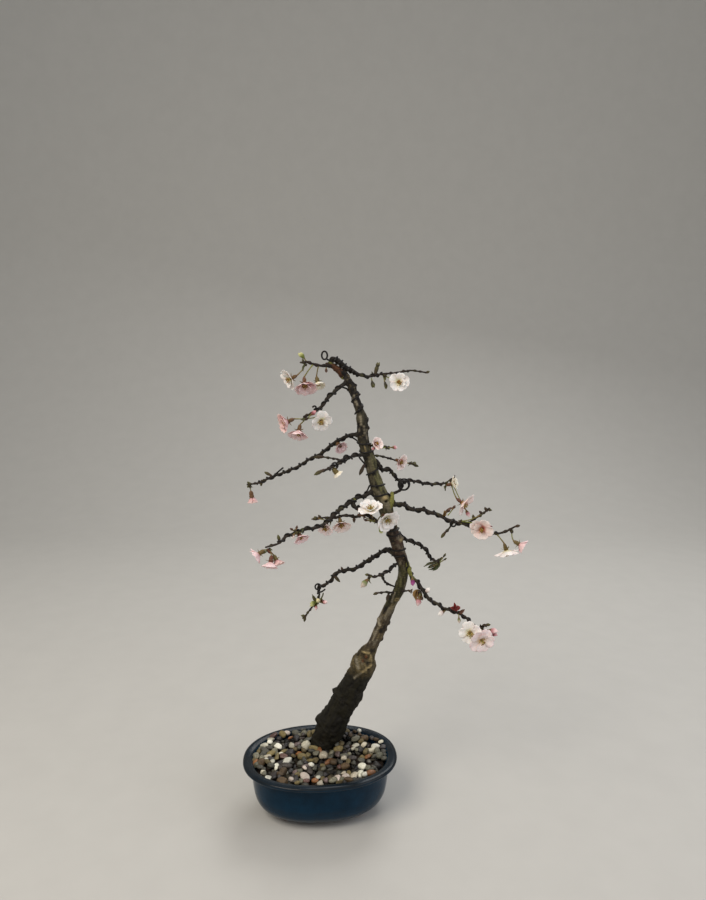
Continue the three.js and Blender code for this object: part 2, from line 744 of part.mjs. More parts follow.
// Young leaves and bud scales: the tip of each leaf.
const LEAF_TUFTS = {
  left_low: { on: 'leftLow', tips: [[2, 38, 186], [5, 36, 190], [6, 39, 195]] },
  right_short: { on: 'rightShort', tips: [[103, 27, 231], [109, 28, 228], [115, 31, 227]] },
  left_small: { on: 'leftSmall', tips: [[42, -33, 231], [47, -32, 229]] },
};

// The place on a branch that is nearest to a point, as a share of its length.
function nearestShare(branch, point) {
  let best = 0;
  for (let i = 0; i <= LENGTH_DIVISIONS; i += 1) {
    const share = i / LENGTH_DIVISIONS;
    const here = branch.curve.getPointAt(share).distanceTo(point);
    if (here < branch.curve.getPointAt(best).distanceTo(point)) best = share;
  }
  return best;
}

function meanPoint(points) {
  return points.reduce((sum, point) => sum.add(point), new THREE.Vector3()).divideScalar(points.length);
}

const WIRE_POINTS = Object.values(WIRES).flat();

// How far the wires stay from a spur and from the stalks that fan out from it.
function wireRoom(spur, targets) {
  const towards = (target) => [0, 0.25, 0.5].map((share) => spur.clone().lerp(target, share));
  const places = targets.flatMap(towards);
  return Math.min(...places.flatMap((place) => WIRE_POINTS.map((point) => point.distanceTo(place))));
}

// Where a spur sits: against the bark on the side of what it carries, and slid along
// the branch by a few millimetres to lie between two turns of the wire.
function spurPlace(branch, targets) {
  const middle = meanPoint(targets);
  const nearest = nearestShare(branch, middle);
  let best = null;
  for (let slide = -SPUR_SLIDE; slide <= SPUR_SLIDE; slide += SPUR_SLIDE_STEP) {
    const share = THREE.MathUtils.clamp(nearest + slide / branch.length, 0.02, 0.98);
    const centre = branch.curve.getPointAt(share);
    const tangent = branch.curve.getTangentAt(share);
    const side = middle.clone().sub(centre);
    side.addScaledVector(tangent, -side.dot(tangent)).normalize();
    const place = centre.addScaledVector(side, branch.radiusAt(share) + SPUR_RADIUS + SPUR_CLEARANCE);
    const room = wireRoom(place, targets);
    if (!best || room > best.room + 0.01) best = { place, room };
  }
  return best.place;
}

function stalkTube(points, radii, step = STALK_STEP) {
  return tube(limb(points.map((point) => point.toArray()), radii), 0, STALK_SIDES, step);
}

// A stalk from the spur with a closed bud on its end.
function bud(spur, at, length, radius) {
  const direction = at.clone().sub(spur).normalize();
  const back = at.clone().addScaledVector(direction, -length / 2);
  const front = at.clone().addScaledVector(direction, length / 2);
  return [
    stalkTube([spur, back.clone().lerp(at, 0.2)], [STALK_RADIUS, STALK_RADIUS]),
    stalkTube([back, at, front], [0.7, radius, 0.5], length / 3),
  ];
}

// A curved stalk that leaves the spur and comes up behind a flower, with its calyx.
function stalk(spur, flower) {
  const facing = vector(flower.facing).normalize();
  const calyxLength = flower.size * CALYX_SHARE;
  const seat = vector(flower.at).addScaledVector(facing, -PETAL_THICKNESS - GAP);
  const calyxBack = seat.clone().addScaledVector(facing, -calyxLength);
  const calyxMiddle = calyxBack.clone().lerp(seat, 0.5);
  const reach = calyxBack.distanceTo(spur);
  const approach = calyxBack.clone().addScaledVector(facing, -reach * 0.15);
  const bend = spur.clone().lerp(approach, 0.55);
  return [
    stalkTube([spur, bend, calyxBack], [STALK_RADIUS, STALK_RADIUS]),
    stalkTube([calyxBack, calyxMiddle, seat], [0.7, CALYX_RADIUS, CALYX_RADIUS], calyxLength / 2),
  ];
}

function stalkSolid(cluster) {
  const ends = [...cluster.flowers, ...cluster.buds].map(({ at }) => vector(at));
  const spur = spurPlace(BRANCHES[cluster.on], ends);
  return joined([
    ball(spur.toArray(), SPUR_RADIUS),
    ...cluster.flowers.flatMap((flower) => stalk(spur, flower)),
    ...cluster.buds.flatMap(({ at, length }) => bud(spur, vector(at), length, BUD_RADIUS)),
  ]);
}

// Five notched petals in one shallow cup, with the dome of stamens in the middle.
function corolla({ at, facing, size }) {
  const radius = size / 2;
  const cup = radius * 0.3;
  const profile = [
    [0, -PETAL_THICKNESS], [0.45 * radius, -PETAL_THICKNESS * 0.4], [radius, cup],
    [radius, cup + PETAL_THICKNESS], [0.45 * radius, PETAL_THICKNESS * 0.6],
    [0.2 * radius, PETAL_THICKNESS * 0.6], [0, 0.3 * radius],
  ];
  const cupShape = new THREE.LatheGeometry(profile.map(([r, z]) => new THREE.Vector2(r, z)), PETALS * 2);
  const position = cupShape.attributes.position;
  for (let i = 0; i < position.count; i += 1) {
    const reach = Math.hypot(position.getX(i), position.getZ(i));
    const angle = Math.atan2(position.getZ(i), position.getX(i));
    const isEdge = reach > 0.9 * radius;
    const share = isEdge ? 1 - NOTCH_DEPTH * Math.cos((PETALS * angle) / 2) ** 2 : 1;
    position.setXYZ(i, position.getX(i) * share, position.getY(i), position.getZ(i) * share);
  }
  const up = new THREE.Vector3(0, 1, 0);
  const turn = new THREE.Quaternion().setFromUnitVectors(up, vector(facing).normalize());
  cupShape.applyQuaternion(turn);
  cupShape.translate(...at);
  return toSolid(cupShape);
}

function openingFlower({ on, at, length }) {
  const spur = spurPlace(BRANCHES[on], [vector(at)]);
  const flower = bud(spur, vector(at), length, length * OPENING_FULLNESS);
  return joined([ball(spur.toArray(), SPUR_RADIUS), ...flower]);
}

function leafTuft({ on, tips }) {
  const points = tips.map(vector);
  const spur = spurPlace(BRANCHES[on], points);
  const leaves = points.map((tip) => {
    const middle = spur.clone().lerp(tip, 0.55);
    return stalkTube([spur, middle, tip], LEAF_RADII, LEAF_STEP);
  });
  return joined([ball(spur.toArray(), SPUR_RADIUS), ...leaves]);
}

// ---------------------------------------------------------------- assembly

const bonsai = new THREE.Group();

const wireClearance = joined(Object.values(WIRES).map((points) => wireSolid(points, GAP)));
const tree = treeSolid().subtract(wireClearance);
const treeClearance = joined(stumpSolids(GAP));
const [leftDrain, rightDrain] = drainPlaces();

bonsai.add(
  namedMesh('pot', pot(), MATERIALS.glaze),
  namedMesh('drain_screen_left', drainScreen(leftDrain), MATERIALS.mesh),
  namedMesh('drain_screen_right', drainScreen(rightDrain), MATERIALS.mesh),
  namedMesh('soil', soil(treeClearance), MATERIALS.soil),
  namedMesh('gravel', gravel(treeClearance), MATERIALS.pebbles),
  namedMesh('tree', tree, MATERIALS.bark),
);
for (const [name, points] of Object.entries(WIRES)) {
  bonsai.add(namedMesh(name, wireSolid(points), MATERIALS.wire));
}
for (const [place, cluster] of Object.entries(CLUSTERS)) {
  bonsai.add(namedMesh(`stalks_${place}`, stalkSolid(cluster), MATERIALS.stalk));
  cluster.flowers.forEach((flower, i) => {
    bonsai.add(namedMesh(`blossom_${place}_${i + 1}`, corolla(flower), MATERIALS.petal));
  });
}
for (const [place, flower] of Object.entries(OPENING_FLOWERS)) {
  bonsai.add(namedMesh(`opening_flower_${place}`, openingFlower(flower), MATERIALS.opening));
}
for (const [place, tuft] of Object.entries(LEAF_TUFTS)) {
  bonsai.add(namedMesh(`leaf_tuft_${place}`, leafTuft(tuft), MATERIALS.leaf));
}

const middle = new THREE.Box3().setFromObject(bonsai).getCenter(new THREE.Vector3());
bonsai.position.set(-middle.x, -middle.y, FOOT_HEIGHT);

export default bonsai;
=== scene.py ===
"""A flowering cherry bonsai in an oval glazed pot.

The file is laid out as a Blender add-on and is run as a script. Shapes are worked out in
millimetres from the middle of the bowl's underside, and become meshes in metres in the
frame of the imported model.
"""

import itertools
import math

import bmesh
import bpy
import numpy as np
from mathutils import Matrix, Vector
from mathutils.kdtree import KDTree


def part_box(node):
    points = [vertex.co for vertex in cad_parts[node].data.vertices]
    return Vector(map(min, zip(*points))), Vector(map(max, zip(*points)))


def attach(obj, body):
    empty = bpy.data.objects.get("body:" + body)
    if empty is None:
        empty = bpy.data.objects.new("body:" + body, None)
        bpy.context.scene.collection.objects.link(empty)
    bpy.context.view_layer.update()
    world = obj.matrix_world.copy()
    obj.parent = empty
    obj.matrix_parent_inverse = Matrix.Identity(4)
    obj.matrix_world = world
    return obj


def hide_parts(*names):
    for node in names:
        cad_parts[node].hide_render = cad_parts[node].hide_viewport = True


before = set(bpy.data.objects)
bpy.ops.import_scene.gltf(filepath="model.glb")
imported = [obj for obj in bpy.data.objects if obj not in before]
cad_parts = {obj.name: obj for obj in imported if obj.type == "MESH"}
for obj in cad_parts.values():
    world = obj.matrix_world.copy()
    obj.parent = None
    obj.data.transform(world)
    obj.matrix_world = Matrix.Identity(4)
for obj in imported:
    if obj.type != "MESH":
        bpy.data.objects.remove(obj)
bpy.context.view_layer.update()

bl_info = {
    "name": "Cherry Blossom Bonsai",
    "version": (1, 0, 0),
    "blender": (4, 5, 0),
    "location": "3D View > Sidebar > Bonsai",
    "description": "Builds a wired flowering cherry in an oval glazed pot",
    "category": "Add Mesh",
}

BODY = "root"
MM = 0.001
TURN = 2 * math.pi
ANY_TURN = 6.28  # random turns are drawn from 0 to this
FOOT_HEIGHT = 4.0  # the feet reach this far below the bowl's underside
POT_LOW, POT_HIGH = (np.array(corner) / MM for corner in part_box("pot"))
BOWL_MIDDLE = np.array([*(POT_LOW + POT_HIGH)[:2] / 2, POT_LOW[2] + FOOT_HEIGHT])


# ------------------------------------------------------------------ colours

def linear(code):
    """The linear colour of an sRGB hex value such as "8a6f4e"."""
    shares = [int(code[i:i + 2], 16) / 255 for i in (0, 2, 4)]
    return np.array([s / 12.92 if s <= 0.04045 else ((s + 0.055) / 1.055) ** 2.4 for s in shares])


def mixed(first, second, share):
    """A colour between two, for one share or for an array of them."""
    share = np.clip(np.asarray(share, float), 0, 1)[..., None]
    return np.asarray(first) * (1 - share) + np.asarray(second) * share


BARK_LOW = linear("181509")
KNOB_TAN = linear("53482f")
BARK_TAN = linear("40372a")
BARK_OLIVE = linear("33311b")
BARK_GREY = linear("45402f")
BARK_RED = linear("3f3127")
BARK_CROWN = linear("1c1814")
BARK_TWIG = linear("28241e")
BARK_CRACK = linear("100d0a")
GREEN_SHOOT = linear("77763a")
CALLUS = linear("94835c")
PALE_BARK = linear("837a66")
HEARTWOOD = linear("a8683a")
LICHEN = linear("69673f")
WIRE_BLACK = linear("161311")
SOIL_DARK = linear("221912")
CALYX_RED = linear("6a3328")
CALYX_GREEN = linear("6f7434")
STALK_GREEN = linear("7f8a3e")
SCALE_BROWN = linear("3a281e")
SCALE_OLIVE = linear("4b4a26")
SCALE_GOLD = linear("8a6a3a")
STRAW = linear("d9c98a")
ANTHER = linear("a8792a")
PISTIL = linear("a4ad4e")
LEAF_BRONZE = linear("5f3a2c")
LEAF_GREEN = linear("56603a")
LEAF_RED = linear("7a2c2c")


# ------------------------------------------------------------------ noise

def lattice(cells, seed):
    """A number from -1 to 1 for each whole-number cell, the same on every run."""
    x, y, z = (cells[..., i].astype(np.int64) for i in range(3))
    value = (x * 73856093) ^ (y * 19349663) ^ (z * 83492791) ^ (seed * 26544357)
    for factor, shift in ((1274126177, 13), (668265263, 15)):
        value = ((value ^ (value >> shift)) * factor) & 0xFFFFFFFF
    return ((value >> 8) & 0xFFFF) / 32767.5 - 1


def noise(points, size, seed=0):
    """Smooth noise from -1 to 1 with lumps about `size` millimetres across."""
    scaled = points / np.asarray(size, float)
    low = np.floor(scaled)
    share = scaled - low
    share = share * share * (3 - 2 * share)
    total = np.zeros(points.shape[:-1])
    for corner in itertools.product((0, 1), repeat=3):
        weight = np.prod(np.where(corner, share, 1 - share), axis=-1)
        total += weight * lattice(low + corner, seed)
    return total


def rough(points, size, seed=0, octaves=3):
    """Noise with finer noise on top of it."""
    size = np.asarray(size, float)
    return sum(noise(points, size / 2**i, seed + i) / 2**i for i in range(octaves))


def smooth_step(values, low, high):
    share = np.clip((np.asarray(values, float) - low) / (high - low), 0, 1)
    return share * share * (3 - 2 * share)


def band(values, low, high, soft):
    """1 between low and high, fading to 0 outside them."""
    return smooth_step(values, low - soft, low + soft) * (1 - smooth_step(values, high - soft, high + soft))


def unit(vectors):
    vectors = np.asarray(vectors, float)
    return vectors / np.maximum(np.linalg.norm(vectors, axis=-1, keepdims=True), 1e-9)


def search_tree(spots):
    """Finds the nearest of some spots, by their number."""
    found = KDTree(len(spots))
    for i, spot in enumerate(spots):
        found.insert(spot, i)
    found.balance()
    return found


# ------------------------------------------------------------------ routes

LENGTH_DIVISIONS = 400
EVEN_SHARES = np.linspace(0, 1, LENGTH_DIVISIONS + 1)
TANGENT_STEP = 0.0001


class Limb:
    """A smooth route through points, measured along its length, with a radius along it."""

    def __init__(self, radii, points):
        self.points = np.array(points, float)
        self.radii = np.array(radii, float)
        steps = np.linalg.norm(np.diff(self.at_place(EVEN_SHARES), axis=0), axis=1)
        self.distances = np.concatenate([[0], np.cumsum(steps)])
        self.length = self.distances[-1]

    def at_place(self, place):
        """Points of the centripetal spline; place runs evenly from control point to control point."""
        knots = self.points
        padded = np.vstack([2 * knots[0] - knots[1], knots, 2 * knots[-1] - knots[-2]])
        scaled = np.clip(place, 0, 1) * (len(knots) - 1)
        index = np.minimum(np.floor(scaled).astype(int), len(knots) - 2)
        share = (scaled - index)[..., None]
        before, start, end, after = (padded[index + i] for i in range(4))
        gap0, gap1, gap2 = (
            np.sqrt(np.linalg.norm(b - a, axis=-1, keepdims=True))
            for a, b in ((before, start), (start, end), (end, after))
        )
        slope0 = (start - before) / gap0 - (end - before) / (gap0 + gap1) + (end - start) / gap1
        slope1 = (end - start) / gap1 - (after - start) / (gap1 + gap2) + (after - end) / gap2
        slope0, slope1 = slope0 * gap1, slope1 * gap1
        square = 3 * (end - start) - 2 * slope0 - slope1
        cube = 2 * (start - end) + slope0 + slope1
        return start + slope0 * share + square * share**2 + cube * share**3

    def place_of(self, share):
        return np.interp(np.asarray(share, float) * self.length, self.distances, EVEN_SHARES)

    def at(self, share):
        return self.at_place(self.place_of(share))

    def radius(self, share):
        place = self.place_of(share) * (len(self.radii) - 1)
        return np.interp(place, np.arange(len(self.radii)), self.radii)

    def tangent(self, share):
        place = self.place_of(share)
        ahead = self.at_place(np.minimum(place + TANGENT_STEP, 1))
        return unit(ahead - self.at_place(np.maximum(place - TANGENT_STEP, 0)))

    def shares(self, step):
        return np.linspace(0, 1, max(3, round(self.length / step) + 1))


def frames_along(tangents):
    """Normals and binormals that turn as little as possible along a route."""
    start = np.zeros(3)
    start[2 - np.argmin(np.abs(tangents[0])[::-1])] = 1
    normals = np.empty_like(tangents)
    normals[0] = np.cross(tangents[0], unit(np.cross(tangents[0], start)))
    for i in range(1, len(tangents)):
        kept = normals[i - 1] - tangents[i] * np.dot(normals[i - 1], tangents[i])
        normals[i] = kept / max(math.sqrt(np.dot(kept, kept)), 1e-9)
    return normals, np.cross(tangents, normals)


def route_through(points, step=0.5):
    """A dense route through a few points."""
    limb = Limb([1, 1], points)
    return limb.at(limb.shares(step))


# ------------------------------------------------------------------ shapes

CAP_ANGLES = np.radians([20, 45, 70])
BALL_LEVELS = (1, 2, 3, 5)


def tube(route, radii, sides=10, relief=None):
    """A closed tube with round ends: its points, its faces, and the same points on the tube
    laid out straight up Z, which is where patterns that follow it are worked out.

    relief takes the points and the straight ones, and gives how far each is raised."""
    route = np.asarray(route, float)
    radii = np.broadcast_to(np.asarray(radii, float), len(route))
    tangents = unit(np.gradient(route, axis=0))
    normals, binormals = frames_along(tangents)
    along = np.concatenate([[0], np.cumsum(np.linalg.norm(np.diff(route, axis=0), axis=1))])
    caps = len(CAP_ANGLES)
    index = np.concatenate([np.zeros(caps, int), np.arange(len(route)), np.full(caps, len(route) - 1)])
    lean = np.concatenate([-CAP_ANGLES[::-1], np.zeros(len(route)), CAP_ANGLES])[:, None, None]
    turn = np.linspace(0, TURN, sides, endpoint=False)[None, :, None]
    around = np.cos(turn) * normals[index][:, None] + np.sin(turn) * binormals[index][:, None]
    outward = around * np.cos(lean) + tangents[index][:, None] * np.sin(lean)
    reach = radii[index][:, None, None]
    surface = route[index][:, None] + outward * reach
    height = np.broadcast_to(along[index][:, None, None] + reach * np.sin(lean), (len(index), sides, 1))
    side = np.concatenate([np.cos(turn) * np.cos(lean), np.sin(turn) * np.cos(lean)], -1) * reach
    poles = np.stack([route[0] - tangents[0] * radii[0], route[-1] + tangents[-1] * radii[-1]])
    points = np.vstack([surface.reshape(-1, 3), poles])
    outward = np.vstack([outward.reshape(-1, 3), -tangents[0], tangents[-1]])
    straight = np.concatenate([side, height], -1).reshape(-1, 3)
    straight = np.vstack([straight, [0, 0, -radii[0]], [0, 0, along[-1] + radii[-1]]])
    if relief is not None:
        points = points + outward * relief(points, straight)[:, None]
    return points, ring_faces(len(index), sides), straight


def ring_faces(rings, sides):
    """Faces of a tube of rings whose two poles come after the rings."""
    ring = np.arange(rings - 1)[:, None] * sides
    side = np.arange(sides)
    following = (side + 1) % sides
    quads = np.stack([ring + side, ring + following, ring + sides + following, ring + sides + side], -1)
    first, last, top = rings * sides, rings * sides + 1, (rings - 1) * sides
    ends = [([first, j, i], [last, top + i, top + j]) for i, j in zip(side.tolist(), following.tolist())]
    return quads.reshape(-1, 4).tolist() + [face for pair in ends for face in pair]


def sheet_faces(rows, columns):
    """Faces of a thin leaf made of two grids of points, the upper one first."""
    index = np.arange(rows * columns).reshape(rows, columns)
    grid = np.stack([index[:-1, :-1], index[:-1, 1:], index[1:, 1:], index[1:, :-1]], -1).reshape(-1, 4)
    rim = np.concatenate([index[0, :-1], index[:-1, -1], index[-1, :0:-1], index[:0:-1, 0]])
    following = np.roll(rim, -1)
    edge = np.stack([rim, rim + rows * columns, following + rows * columns, following], -1)
    return np.vstack([grid, grid[:, ::-1] + rows * columns, edge]).tolist()


def round_ball(subdivisions):
    """Points and faces of a ball of radius 1."""
    made = bmesh.new()
    bmesh.ops.create_icosphere(made, subdivisions=subdivisions, radius=1)
    points = np.array([vertex.co for vertex in made.verts])
    faces = [[vertex.index for vertex in face.verts] for face in made.faces]
    made.free()
    return points, faces


BALLS = {level: round_ball(level) for level in BALL_LEVELS}


def turned_to(points, facing, roll=0.0):
    """Points with +Z up, turned so that up is the way something faces."""
    up = unit(facing)
    side = unit(np.cross([0.0, 0.0, 1.0] if abs(up[2]) < 0.95 else [1.0, 0.0, 0.0], up))
    c, s = math.cos(roll), math.sin(roll)
    x, y, z = (points[..., i:i + 1] for i in range(3))
    return (x * c - y * s) * side + (x * s + y * c) * np.cross(up, side) + z * up


class Shell:
    """Shapes with their colours, gathered until they become one mesh."""

    def __init__(self):
        self.points, self.tints, self.faces, self.finishes = [], [], [], []
        self.count = 0

    def add(self, points, faces, tint, finish=0):
        """finish is the number of the shape's material on the piece."""
        self.points.append(points)
        self.tints.append(np.broadcast_to(tint, (len(points), 3)))
        self.faces.extend([i + self.count for i in face] for face in faces)
        self.finishes.extend([finish] * len(faces))
        self.count += len(points)

    def mesh(self, name):
        made = bpy.data.meshes.new(name)
        made.from_pydata(((np.vstack(self.points) + BOWL_MIDDLE) * MM).tolist(), [], self.faces)
        colours = np.ones((self.count, 4), np.float32)
        colours[:, :3] = np.vstack(self.tints)
        made.attributes.new("tint", "FLOAT_COLOR", "POINT").data.foreach_set("color", colours.ravel())
        made.polygons.foreach_set("material_index", self.finishes)
        return smoothed(made)


def smoothed(mesh):
    mesh.polygons.foreach_set("use_smooth", [True] * len(mesh.polygons))
    mesh.update()
    return mesh


def new_object(name, data, materials=()):
    made = bpy.data.objects.new(name, data)
    bpy.context.scene.collection.objects.link(made)
    for material in materials:
        data.materials.append(material)
    return made


def as_piece(made, slot, *nodes):
    """Puts an object on the body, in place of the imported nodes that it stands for."""
    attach(made, BODY)
    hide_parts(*nodes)


def piece(name, shell, materials, slot, *nodes):
    as_piece(new_object(name, shell.mesh(name), materials), slot, *nodes)


def closed_object(name, points, faces, tint):
    """An object whose faces look outward, for joining and cutting."""
    shell = Shell()
    shell.add(points, faces, tint)
    made = new_object(name, shell.mesh(name))
    check = bmesh.new()
    check.from_mesh(made.data)
    if check.calc_volume(signed=True) < 0:
        made.data.flip_normals()
    check.free()
    return made


def read(data, field, width):
    """A field of a mesh's points as rows of numbers."""
    rows = np.empty(len(data) * width, np.float32)
    data.foreach_get(field, rows)
    return rows.reshape(-1, width)


def combined(base, others, operation="UNION"):
    """Joins closed objects to the base, or cuts them from it, and removes them.

    Each point of the result keeps the colour of the nearest point that went in."""
    meshes = [made.data for made in (base, *others)]
    found = search_tree(np.vstack([read(mesh.vertices, "co", 3) for mesh in meshes]))
    tints = np.vstack([read(mesh.attributes["tint"].data, "color", 4) for mesh in meshes])
    for other in others:
        change = base.modifiers.new("join", "BOOLEAN")
        change.operation = operation
        change.solver = "MANIFOLD"
        change.object = other
    seen = base.evaluated_get(bpy.context.evaluated_depsgraph_get())
    result = bpy.data.meshes.new_from_object(seen)
    base.modifiers.clear()
    base.data = result
    kept = result.attributes.get("tint") or result.attributes.new("tint", "FLOAT_COLOR", "POINT")
    nearest = [found.find(spot)[1] for spot in read(result.vertices, "co", 3)]
    kept.data.foreach_set("color", tints[nearest].ravel())
    result.materials.clear()
    result.polygons.foreach_set("material_index", [0] * len(result.polygons))
    smoothed(result)
    for other in others:
        bpy.data.objects.remove(other)


# ------------------------------------------------------------------ materials

def node(tree, kind, inputs=None, **settings):
    """Adds a shader node, sets it up, fills or links its inputs and gives its first output."""
    made = tree.nodes.new(kind)
    for setting, value in settings.items():
        setattr(made, setting, value)
    for socket, value in (inputs or {}).items():
        if isinstance(value, bpy.types.NodeSocket):
            tree.links.new(value, made.inputs[socket])
        else:
            made.inputs[socket].default_value = value
    return made.outputs[0]


def surface(name, shades, gloss=None, bump=(), depth=0.1, strength=1.0, colour=None, **sockets):
    """A material drawn in the frame's metres from patterns of noise.

    A pattern is the size of its grains in millimetres, its detail, how rough that detail is and
    how flat the grains are; the first is enough. shades and gloss hold layers: a pattern, the
    values at its low and high end, and the two parts of the noise where those ends lie. shades
    darken and lighten the mesh's own colours, or the colour given, gloss is the roughness, and
    the bump patterns together raise the skin by depth millimetres."""
    material = bpy.data.materials.new(name)
    material.use_nodes = True
    tree = material.node_tree
    shader = tree.nodes["Principled BSDF"]
    for socket, value in sockets.items():
        shader.inputs[socket.replace("_", " ")].default_value = value
    place = tree.nodes.new("ShaderNodeTexCoord").outputs["Object"]

    def pattern(grain, detail=3.0, roughness=0.55, flatness=None):
        spot = place
        if flatness:
            spot = node(tree, "ShaderNodeMapping", {"Vector": place, "Scale": (1, 1, flatness)})
        return node(tree, "ShaderNodeTexNoise", {
            "Vector": spot, "Scale": 1 / (grain * MM), "Detail": detail, "Roughness": roughness,
        })

    def layer(grains, low, high, start=0.3, end=0.7):
        return node(tree, "ShaderNodeMapRange", {
            "Value": pattern(*grains), "From Min": start, "From Max": end, "To Min": low, "To Max": high,
        })

    def joined(values, operation):
        while len(values) > 1:
            inputs = dict(enumerate(values[:2]))
            values = [node(tree, "ShaderNodeMath", inputs, operation=operation), *values[2:]]
        return values[0]

    if colour is None:
        colour = node(tree, "ShaderNodeAttribute", attribute_name="tint")
    shade = joined([layer(*entry) for entry in shades], "MULTIPLY")
    tinted = node(tree, "ShaderNodeVectorMath", {0: colour, "Scale": shade}, operation="SCALE")
    tree.links.new(tinted, shader.inputs["Base Color"])
    if gloss:
        tree.links.new(layer(*gloss), shader.inputs["Roughness"])
    if bump:
        height = joined([pattern(*grains) for grains in bump], "ADD")
        raised = node(tree, "ShaderNodeBump", {
            "Height": height, "Distance": depth * MM, "Strength": strength,
        })
        tree.links.new(raised, shader.inputs["Normal"])
    return material


def glazed_stoneware():
    """Wheel and mould made stoneware under an iron blue glaze, fired once. The glaze is a
    glassy skin that pools dark and thins to brown on edges, with faint pinholes."""
    return surface(
        "stoneware_iron_blue_glaze", [((14,), 0.78, 1.25), ((0.9, 2), 0.9, 1.12)], ((5,), 0.08, 0.2),
        bump=[(2.2, 2)], depth=0.12, strength=0.5, IOR=1.52, Specular_IOR_Level=0.12,
    )


def bare_stoneware():
    """The same clay left unglazed under the feet: dry, sandy and a little open."""
    return surface(
        "stoneware_bare_fired", [((0.8,), 0.75, 1.25)], bump=[(0.5,)], depth=0.15, IOR=1.5, Roughness=0.9,
    )


def moulded_screen():
    """Injection moulded polyethylene: waxy, slightly soft gloss with a fine mould texture."""
    return surface(
        "polyethylene_moulded_screen", [((0.6,), 0.7, 1.3)], ((0.6,), 0.45, 0.6),
        bump=[(0.6,)], depth=0.05, colour=linear("24272a"), IOR=1.51,
    )


def potting_soil():
    """Screened bark compost and baked clay grains: crumbly, dull and nearly black when moist."""
    return surface(
        "potting_soil_crumbly", [((1.6,), 0.4, 1.8)], bump=[(1.2,)], depth=0.8, IOR=1.4, Roughness=0.95,
    )


def tumbled_stone(name, veins, low, high, polish):
    """River tumbled stone. veins is the size in millimetres of its mottling, low and high
    how far the mottling darkens and lightens it, polish its roughness."""
    mottling = ((veins, 4, 0.62), low, high, 0.35, 0.65)
    return surface(
        name, [mottling, ((0.45, 2), 0.86, 1.14)], ((1.5,), polish - 0.1, polish + 0.1),
        bump=[(0.7,)], depth=0.12, IOR=1.54,
    )


def cherry_bark():
    """Living cherry bark: a thin satin skin on young wood, with cross-wise corky pores, and
    dull grey-brown plates with dark cracks on the old trunk."""
    pores, fine = (2.6, 4, 0.6, 3.2), (0.7,)
    return surface(
        "cherry_bark_weathered", [(pores, 0.62, 1.42, 0.34, 0.66), (fine, 0.8, 1.22)], (pores, 0.62, 0.86),
        bump=[pores, fine], depth=0.3, strength=0.8, IOR=1.45, Specular_IOR_Level=0.3,
    )


def anodised_wire():
    """Drawn aluminium wire, anodised near black: an even satin skin, rubbed paler and
    browner where it has lain outdoors."""
    return surface(
        "aluminium_wire_anodised_black", [((3.5, 4), 0.7, 1.7)], ((1.4,), 0.38, 0.6),
        bump=[(0.5, 2)], depth=0.03, strength=0.6, Metallic=0.45,
    )


def living_skin(name, gloss, grain, light=0.0):
    """Young plant tissue: a thin waxy skin over soft cells that let a little light through.
    gloss is its roughness, grain its mottling in millimetres, light how much passes."""
    return surface(
        name, [((grain,), 0.9, 1.1)], ((grain / 2,), gloss - 0.08, gloss + 0.08),
        bump=[(grain / 3,)], depth=0.06, strength=0.6, IOR=1.42,
        Subsurface_Weight=light, Subsurface_Radius=(1.0, 0.6, 0.5), Subsurface_Scale=0.8 * MM,
    )


def studio_paper(colour):
    """Matt seamless background paper, with the faintest tooth."""
    return surface(
        "paper_seamless_matt", [((40, 2), 0.985, 1.015)], colour=colour, IOR=1.45, Roughness=0.9,
    )


# ------------------------------------------------------------------ pot

POT_YAW = math.radians(5)
OVAL_POWER = 2.2  # 2 is an ellipse, more is squarer
POT_AROUND = 160
FLOOR_TOP = 6.0
# Half length, height and how far the corner is rounded, round the wall and back down inside
WALL = [
    (0, 0, 0), (49.5, 0, 2.5), (57.3, 4, 9), (62.5, 11, 9), (65.5, 22, 12), (66.8, 43.8, 1.2),
    (73.2, 45.2, 1.6), (75.2, 47, 1.4), (74.6, 49.2, 1.2), (72.2, 50, 1.6), (67, 49.1, 1.2),
    (64.9, 46.6, 1.5), (62, 34, 12), (57, 13, 8), (49, FLOOR_TOP, 5), (0, FLOOR_TOP, 0),
]
CORNER_STEPS = 7
THIN_FROM, THIN_TO = 47.5, 49.2  # heights between which the lip's glaze thins
FOOT_ANGLES = np.radians([38, 142, 218, 322])
FOOT_SWEEP = math.radians(25)
FOOT_MIDDLE, FOOT_HALF, FOOT_RISE, FOOT_LEVEL = 44.5, 4.8, 4.4, 0.4
FOOT_RINGS, FOOT_AROUND, FOOT_POWER = 25, 28, 0.45
BARE_BELOW = -3.2  # the clay under this height is left unglazed
DRAIN_RADIUS, DRAIN_OFFSET, DRAIN_SIDES = 6.0, 26.0, 40


def signed_power(values, power):
    return np.sign(values) * np.abs(values) ** power


def oval_points(half, angle, settings):
    """Points of the oval with that half length. Its half width is less by the same amount."""
    narrower = (settings.length - settings.width) / 2 / MM
    across = np.maximum(half - narrower, half * 0.02)
    x = half * signed_power(np.cos(angle), 2 / OVAL_POWER)
    y = across * signed_power(np.sin(angle), 2 / OVAL_POWER)
    c, s = math.cos(POT_YAW), math.sin(POT_YAW)
    return x * c - y * s, x * s + y * c


def rounded_outline(corners):
    """An outline with each corner drawn as a short curve."""
    spots = np.array([corner[:2] for corner in corners], float)
    outline = [spots[0]]
    for before, corner, after, (_, _, rounding) in zip(spots, spots[1:], spots[2:], corners[1:]):
        start, end = (
            corner + (other - corner) * min(rounding / np.linalg.norm(other - corner), 0.5)
            for other in (before, after)
        )
        for share in np.linspace(0, 1, CORNER_STEPS):
            first, second = start * (1 - share) + corner * share, corner * (1 - share) + end * share
            outline.append(first * (1 - share) + second * share)
    outline.append(spots[-1])
    return np.array(outline)


